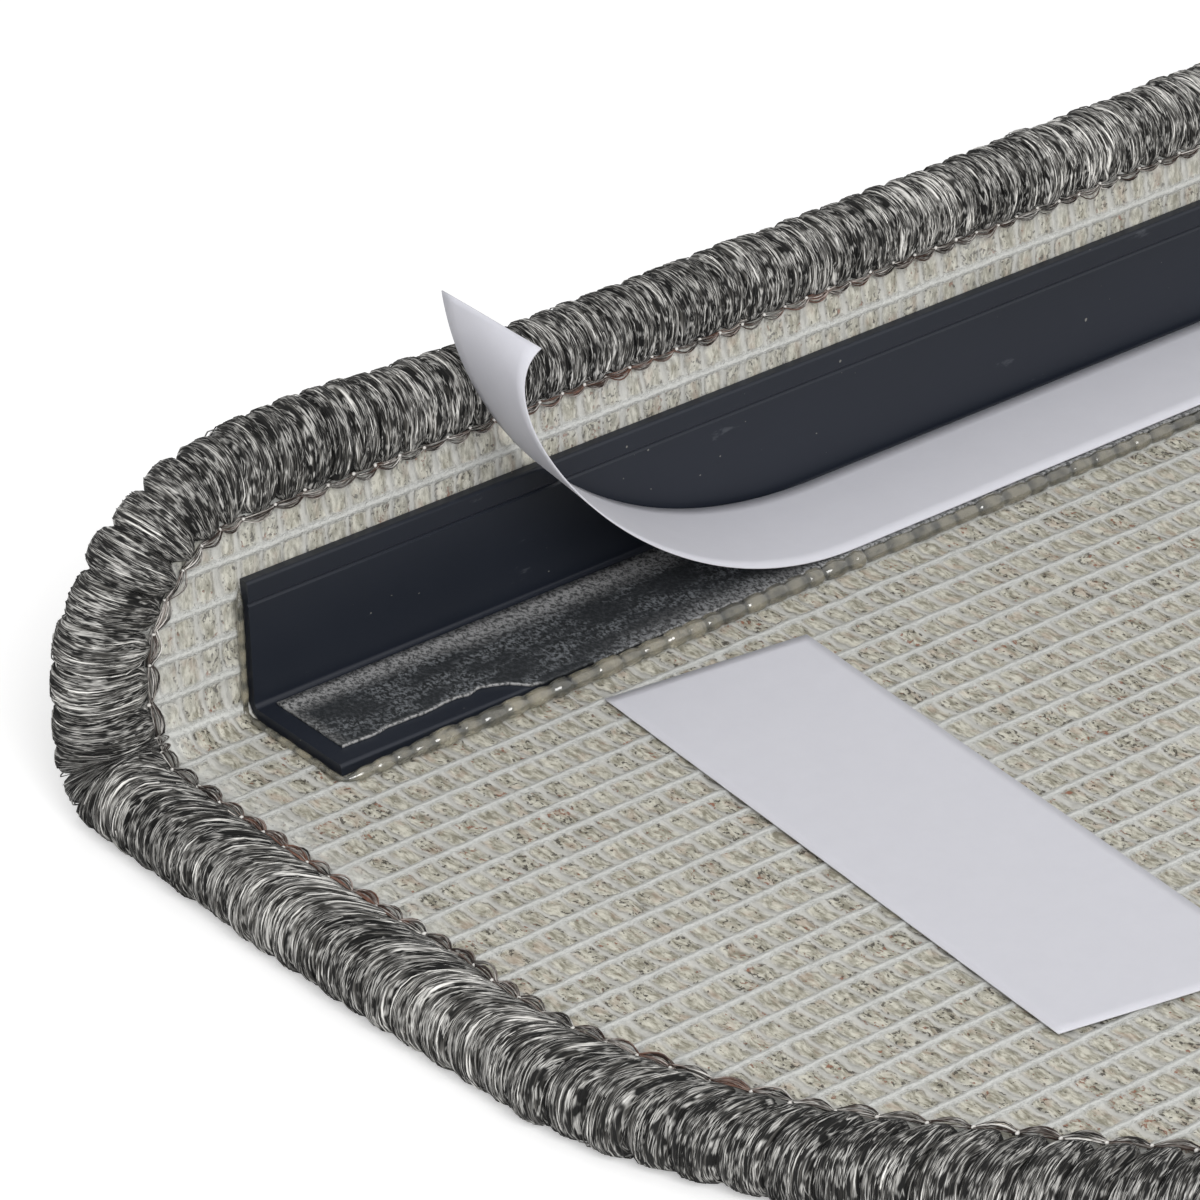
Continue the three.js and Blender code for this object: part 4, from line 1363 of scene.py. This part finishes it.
profile_tape, grid = laid_grid("profile_tape_fleece", 400, 16)
tape_x = tape_low[0] + grid[:, 0] * (tape_high[0] - tape_low[0])
from_left = tape_x - tape_low[0]
ragged = np.interp(tape_x, np.linspace(tape_low[0], tape_high[0], 500), rng.normal(0, 0.08, 500))
tear = TORN_STRIP * np.clip((TORN_LENGTH + TORN_END - from_left) / TORN_END, 0, 1)
torn = tear * (1 + ragged) + 0.7 * ragged - TAPE_FORWARD * (1 - tear / TORN_STRIP)
front_y = tape_low[1] + torn
tape_y = front_y + grid[:, 1] ** 1.5 * (tape_high[1] - front_y)
tape_z = np.full(len(grid), tape_low[2] + 0.02)
fill_points(profile_tape, np.column_stack([tape_x, tape_y, tape_z]) * MM)
torn_rim = np.clip(1 - grid[:, 1] * 12, 0, 1) * (tear > 0) * 1.3
front_rim = np.clip(1 - grid[:, 1] * 2.4, 0, 1) * np.clip(from_left / 20 - 1.5, 0, 0.8)
torn_rim = np.maximum(torn_rim, front_rim)
fold_rim = np.clip((grid[:, 1] - 0.78) * 9, 0, 0.95)
left_rim = np.clip(1 - from_left / 1.2, 0, 1) * 0.4
add_values(profile_tape.data, "border", np.maximum(np.maximum(torn_rim, fold_rim), left_rim))
thicken(profile_tape, TAPE_THICKNESS - 0.02)
complete(profile_tape, FLEECE, "tape", "profile_tape")

# %% [markdown]
# ## Release liner of the profile tape
# The liner is thin siliconed paper. It lies flat on the tape and then curls up and over
# at the peeled end. Its two long edges rise on slightly different curves, which twists
# it, so the sheet is laid between two Bezier curves.

# %% Curling liner
LINER_WIDTH = 15.0
LINER_THICKNESS = 0.16
LINER_LIFT = 0.4
LINER_SHORT = 2.2
LINER_SET_BACK = 0.6
BACK_CURVE = ((76.1, LINER_LIFT), (43.4, LINER_LIFT), (28.2, 23.9), (26.2, 40.8))
FRONT_CURVE = ((69.5, LINER_LIFT), (40.1, LINER_LIFT), (17.6, 35.3), (27.8, 39.4))
CURL_STEPS = 60
FLAT_STEPS = 90


def bezier(curve, share):
    curve = np.array(curve)
    left = 1 - share
    weights = np.stack([left**3, 3 * left**2 * share, 3 * left * share**2, share**3], axis=-1)
    return weights @ curve


profile_liner, grid = laid_grid("profile_liner_paper", CURL_STEPS + FLAT_STEPS, 8)
step_number = grid[:, 0] * (CURL_STEPS + FLAT_STEPS)
curl = np.clip(1 - step_number / CURL_STEPS, 0, 1)
rest = np.clip((step_number - CURL_STEPS) / FLAT_STEPS, 0, 1)
back = bezier(BACK_CURVE, curl)
front = bezier(FRONT_CURVE, curl)
end_x = 2 * PROFILE_HALF - LINER_SHORT
width_share = grid[:, 1]
line = front + (back - front) * width_share[:, None]
line_x = line[:, 0] + rest * (end_x - line[:, 0])
line_z = line[:, 1] + rest * (LINER_LIFT - line[:, 1])
line_z = line_z + 0.05 * rest * np.sin(line_x / 17) * (width_share - 0.5)
liner_y = LEG_Y - LINER_SET_BACK - LINER_WIDTH * (1 - width_share)
liner_points = np.column_stack([line_x - PROFILE_HALF, liner_y, line_z + LEG_Z])
fill_points(profile_liner, liner_points * MM)
thicken(profile_liner, LINER_THICKNESS)
complete(profile_liner, LINER_PAPER, "liner", "profile_liner")

# %% [markdown]
# ## The two short strips
# Two strips of the same tape are stuck to the backing, with their liners on. They are
# cut by hand, so their ends are a little askew, and they bridge the weave's ridges with
# a faint waviness.

# %% Short strips
STRIP_WIDTH = 25.0
STRIP_LENGTH = 80.0
STRIP_ANGLE = 4.3
STRIP_SKEW = 1.6
STRIP_FROM_END = 39.5
STRIP_FROM_FOLD = 63.0
TAPE_SET_BACK = 0.35


def short_strip(side, name):
    centre = (side * (PROFILE_HALF - STRIP_FROM_END), LEG_Y - STRIP_FROM_FOLD)
    turn = math.radians(side * STRIP_ANGLE)
    for kind, base, thick, material, slot in (
        ("tape", 0.1, 0.16, FLEECE, "tape"),
        ("liner", 0.3, 0.13, LINER_PAPER, "liner"),
    ):
        piece, grid = laid_grid(f"strip_{kind}_{name}_sheet", 20, 60)
        trim = TAPE_SET_BACK if kind == "tape" else 0.0
        across = -side * (grid[:, 0] - 0.5) * (STRIP_WIDTH - 2 * trim)
        along = (grid[:, 1] - 0.5) * (STRIP_LENGTH - 2 * trim)
        along = along - (grid[:, 0] - 0.5) * STRIP_SKEW * (2 - grid[:, 1])
        x = centre[0] + across * math.cos(turn) - along * math.sin(turn)
        y = centre[1] + across * math.sin(turn) + along * math.cos(turn)
        wave = 0.012 * np.sin(2 * math.pi * (y - FOLD_Y - FIRST_WARP_V) / WARP_PITCH)
        z = BACKING_Z + base + wave
        fill_points(piece, np.column_stack([x, y, z]) * MM)
        add_values(piece.data, "border", np.zeros(len(grid)))
        thicken(piece, thick)
        complete(piece, material, slot, f"strip_{kind}_{name}")


short_strip(-1, "left")
short_strip(1, "right")

# %% [markdown]

# %% [markdown]
# ## Floor and light
# The mat lies on a plain white floor in soft light. The floor keeps a faint contact
# shadow, and what the camera sees beyond it is white. One large soft lamp from the front
# left shapes the yarn, and the bright world fills in the rest.

# %% Floor
FLOOR_SIZE = 12
FLOOR_GLOW = 0.35


def seen_directly(tree):
    rays = put(tree, "LightPath").outputs
    other = maths(tree, "MAXIMUM", rays["Is Glossy Ray"], rays["Is Transmission Ray"])
    return maths(tree, "MAXIMUM", rays["Is Camera Ray"], other)


def floor_finish():
    material, tree, shader = finish("white_floor", Roughness=0.9, Specular_IOR_Level=0.1)
    shader.inputs["Base Color"].default_value = (0.86, 0.86, 0.86, 1)
    glow = tree.nodes.new("ShaderNodeEmission")
    glow.inputs["Color"].default_value = (1, 1, 1, 1)
    tree.links.new(times(tree, seen_directly(tree), FLOOR_GLOW), glow.inputs["Strength"])
    both = tree.nodes.new("ShaderNodeAddShader")
    tree.links.new(shader.outputs[0], both.inputs[0])
    tree.links.new(glow.outputs[0], both.inputs[1])
    tree.links.new(both.outputs[0], tree.nodes["Material Output"].inputs["Surface"])
    return material


deselect()
bpy.ops.mesh.primitive_plane_add(size=FLOOR_SIZE, location=(0, 0, 0))
floor = bpy.context.object
floor.name = "floor"
floor.data.materials.append(floor_finish())
print("stage", floor.name)

# %% [markdown]
# ### Lamp and world
# The world is plain white to the camera and gives the mat a dimmer light, which leaves
# some of the shaping to the lamp at the front left.

# %% Lamp and world
WORLD_STRENGTH = 0.6
KEY_POWER = 15.0
KEY_PLACE = (-0.75, -1.05, 0.95)
KEY_SIZE = 0.8
KEY_AIM = (-0.2, 0.05, 0.0)

world = bpy.data.worlds.new("soft_white")
bpy.context.scene.world = world
world.use_nodes = True
tree = world.node_tree
backdrop = tree.nodes["Background"]
backdrop.inputs["Color"].default_value = (1, 1, 1, 1)
strength = step(tree, seen_directly(tree), 0.0, 1.0, WORLD_STRENGTH, 1.0)
tree.links.new(strength, backdrop.inputs["Strength"])

key_data = bpy.data.lights.new("key", "AREA")
key_data.shape = "DISK"
key_data.size = KEY_SIZE
key_data.energy = KEY_POWER
key = bpy.data.objects.new("key", key_data)
key.location = KEY_PLACE
aim = np.array(KEY_AIM) - np.array(KEY_PLACE)
key.rotation_euler = (
    math.atan2(np.hypot(aim[0], aim[1]), -aim[2]),
    0,
    math.atan2(aim[1], aim[0]) - QUARTER,
)
bpy.context.collection.objects.link(key)
print("lit by", key.name, "and the world")
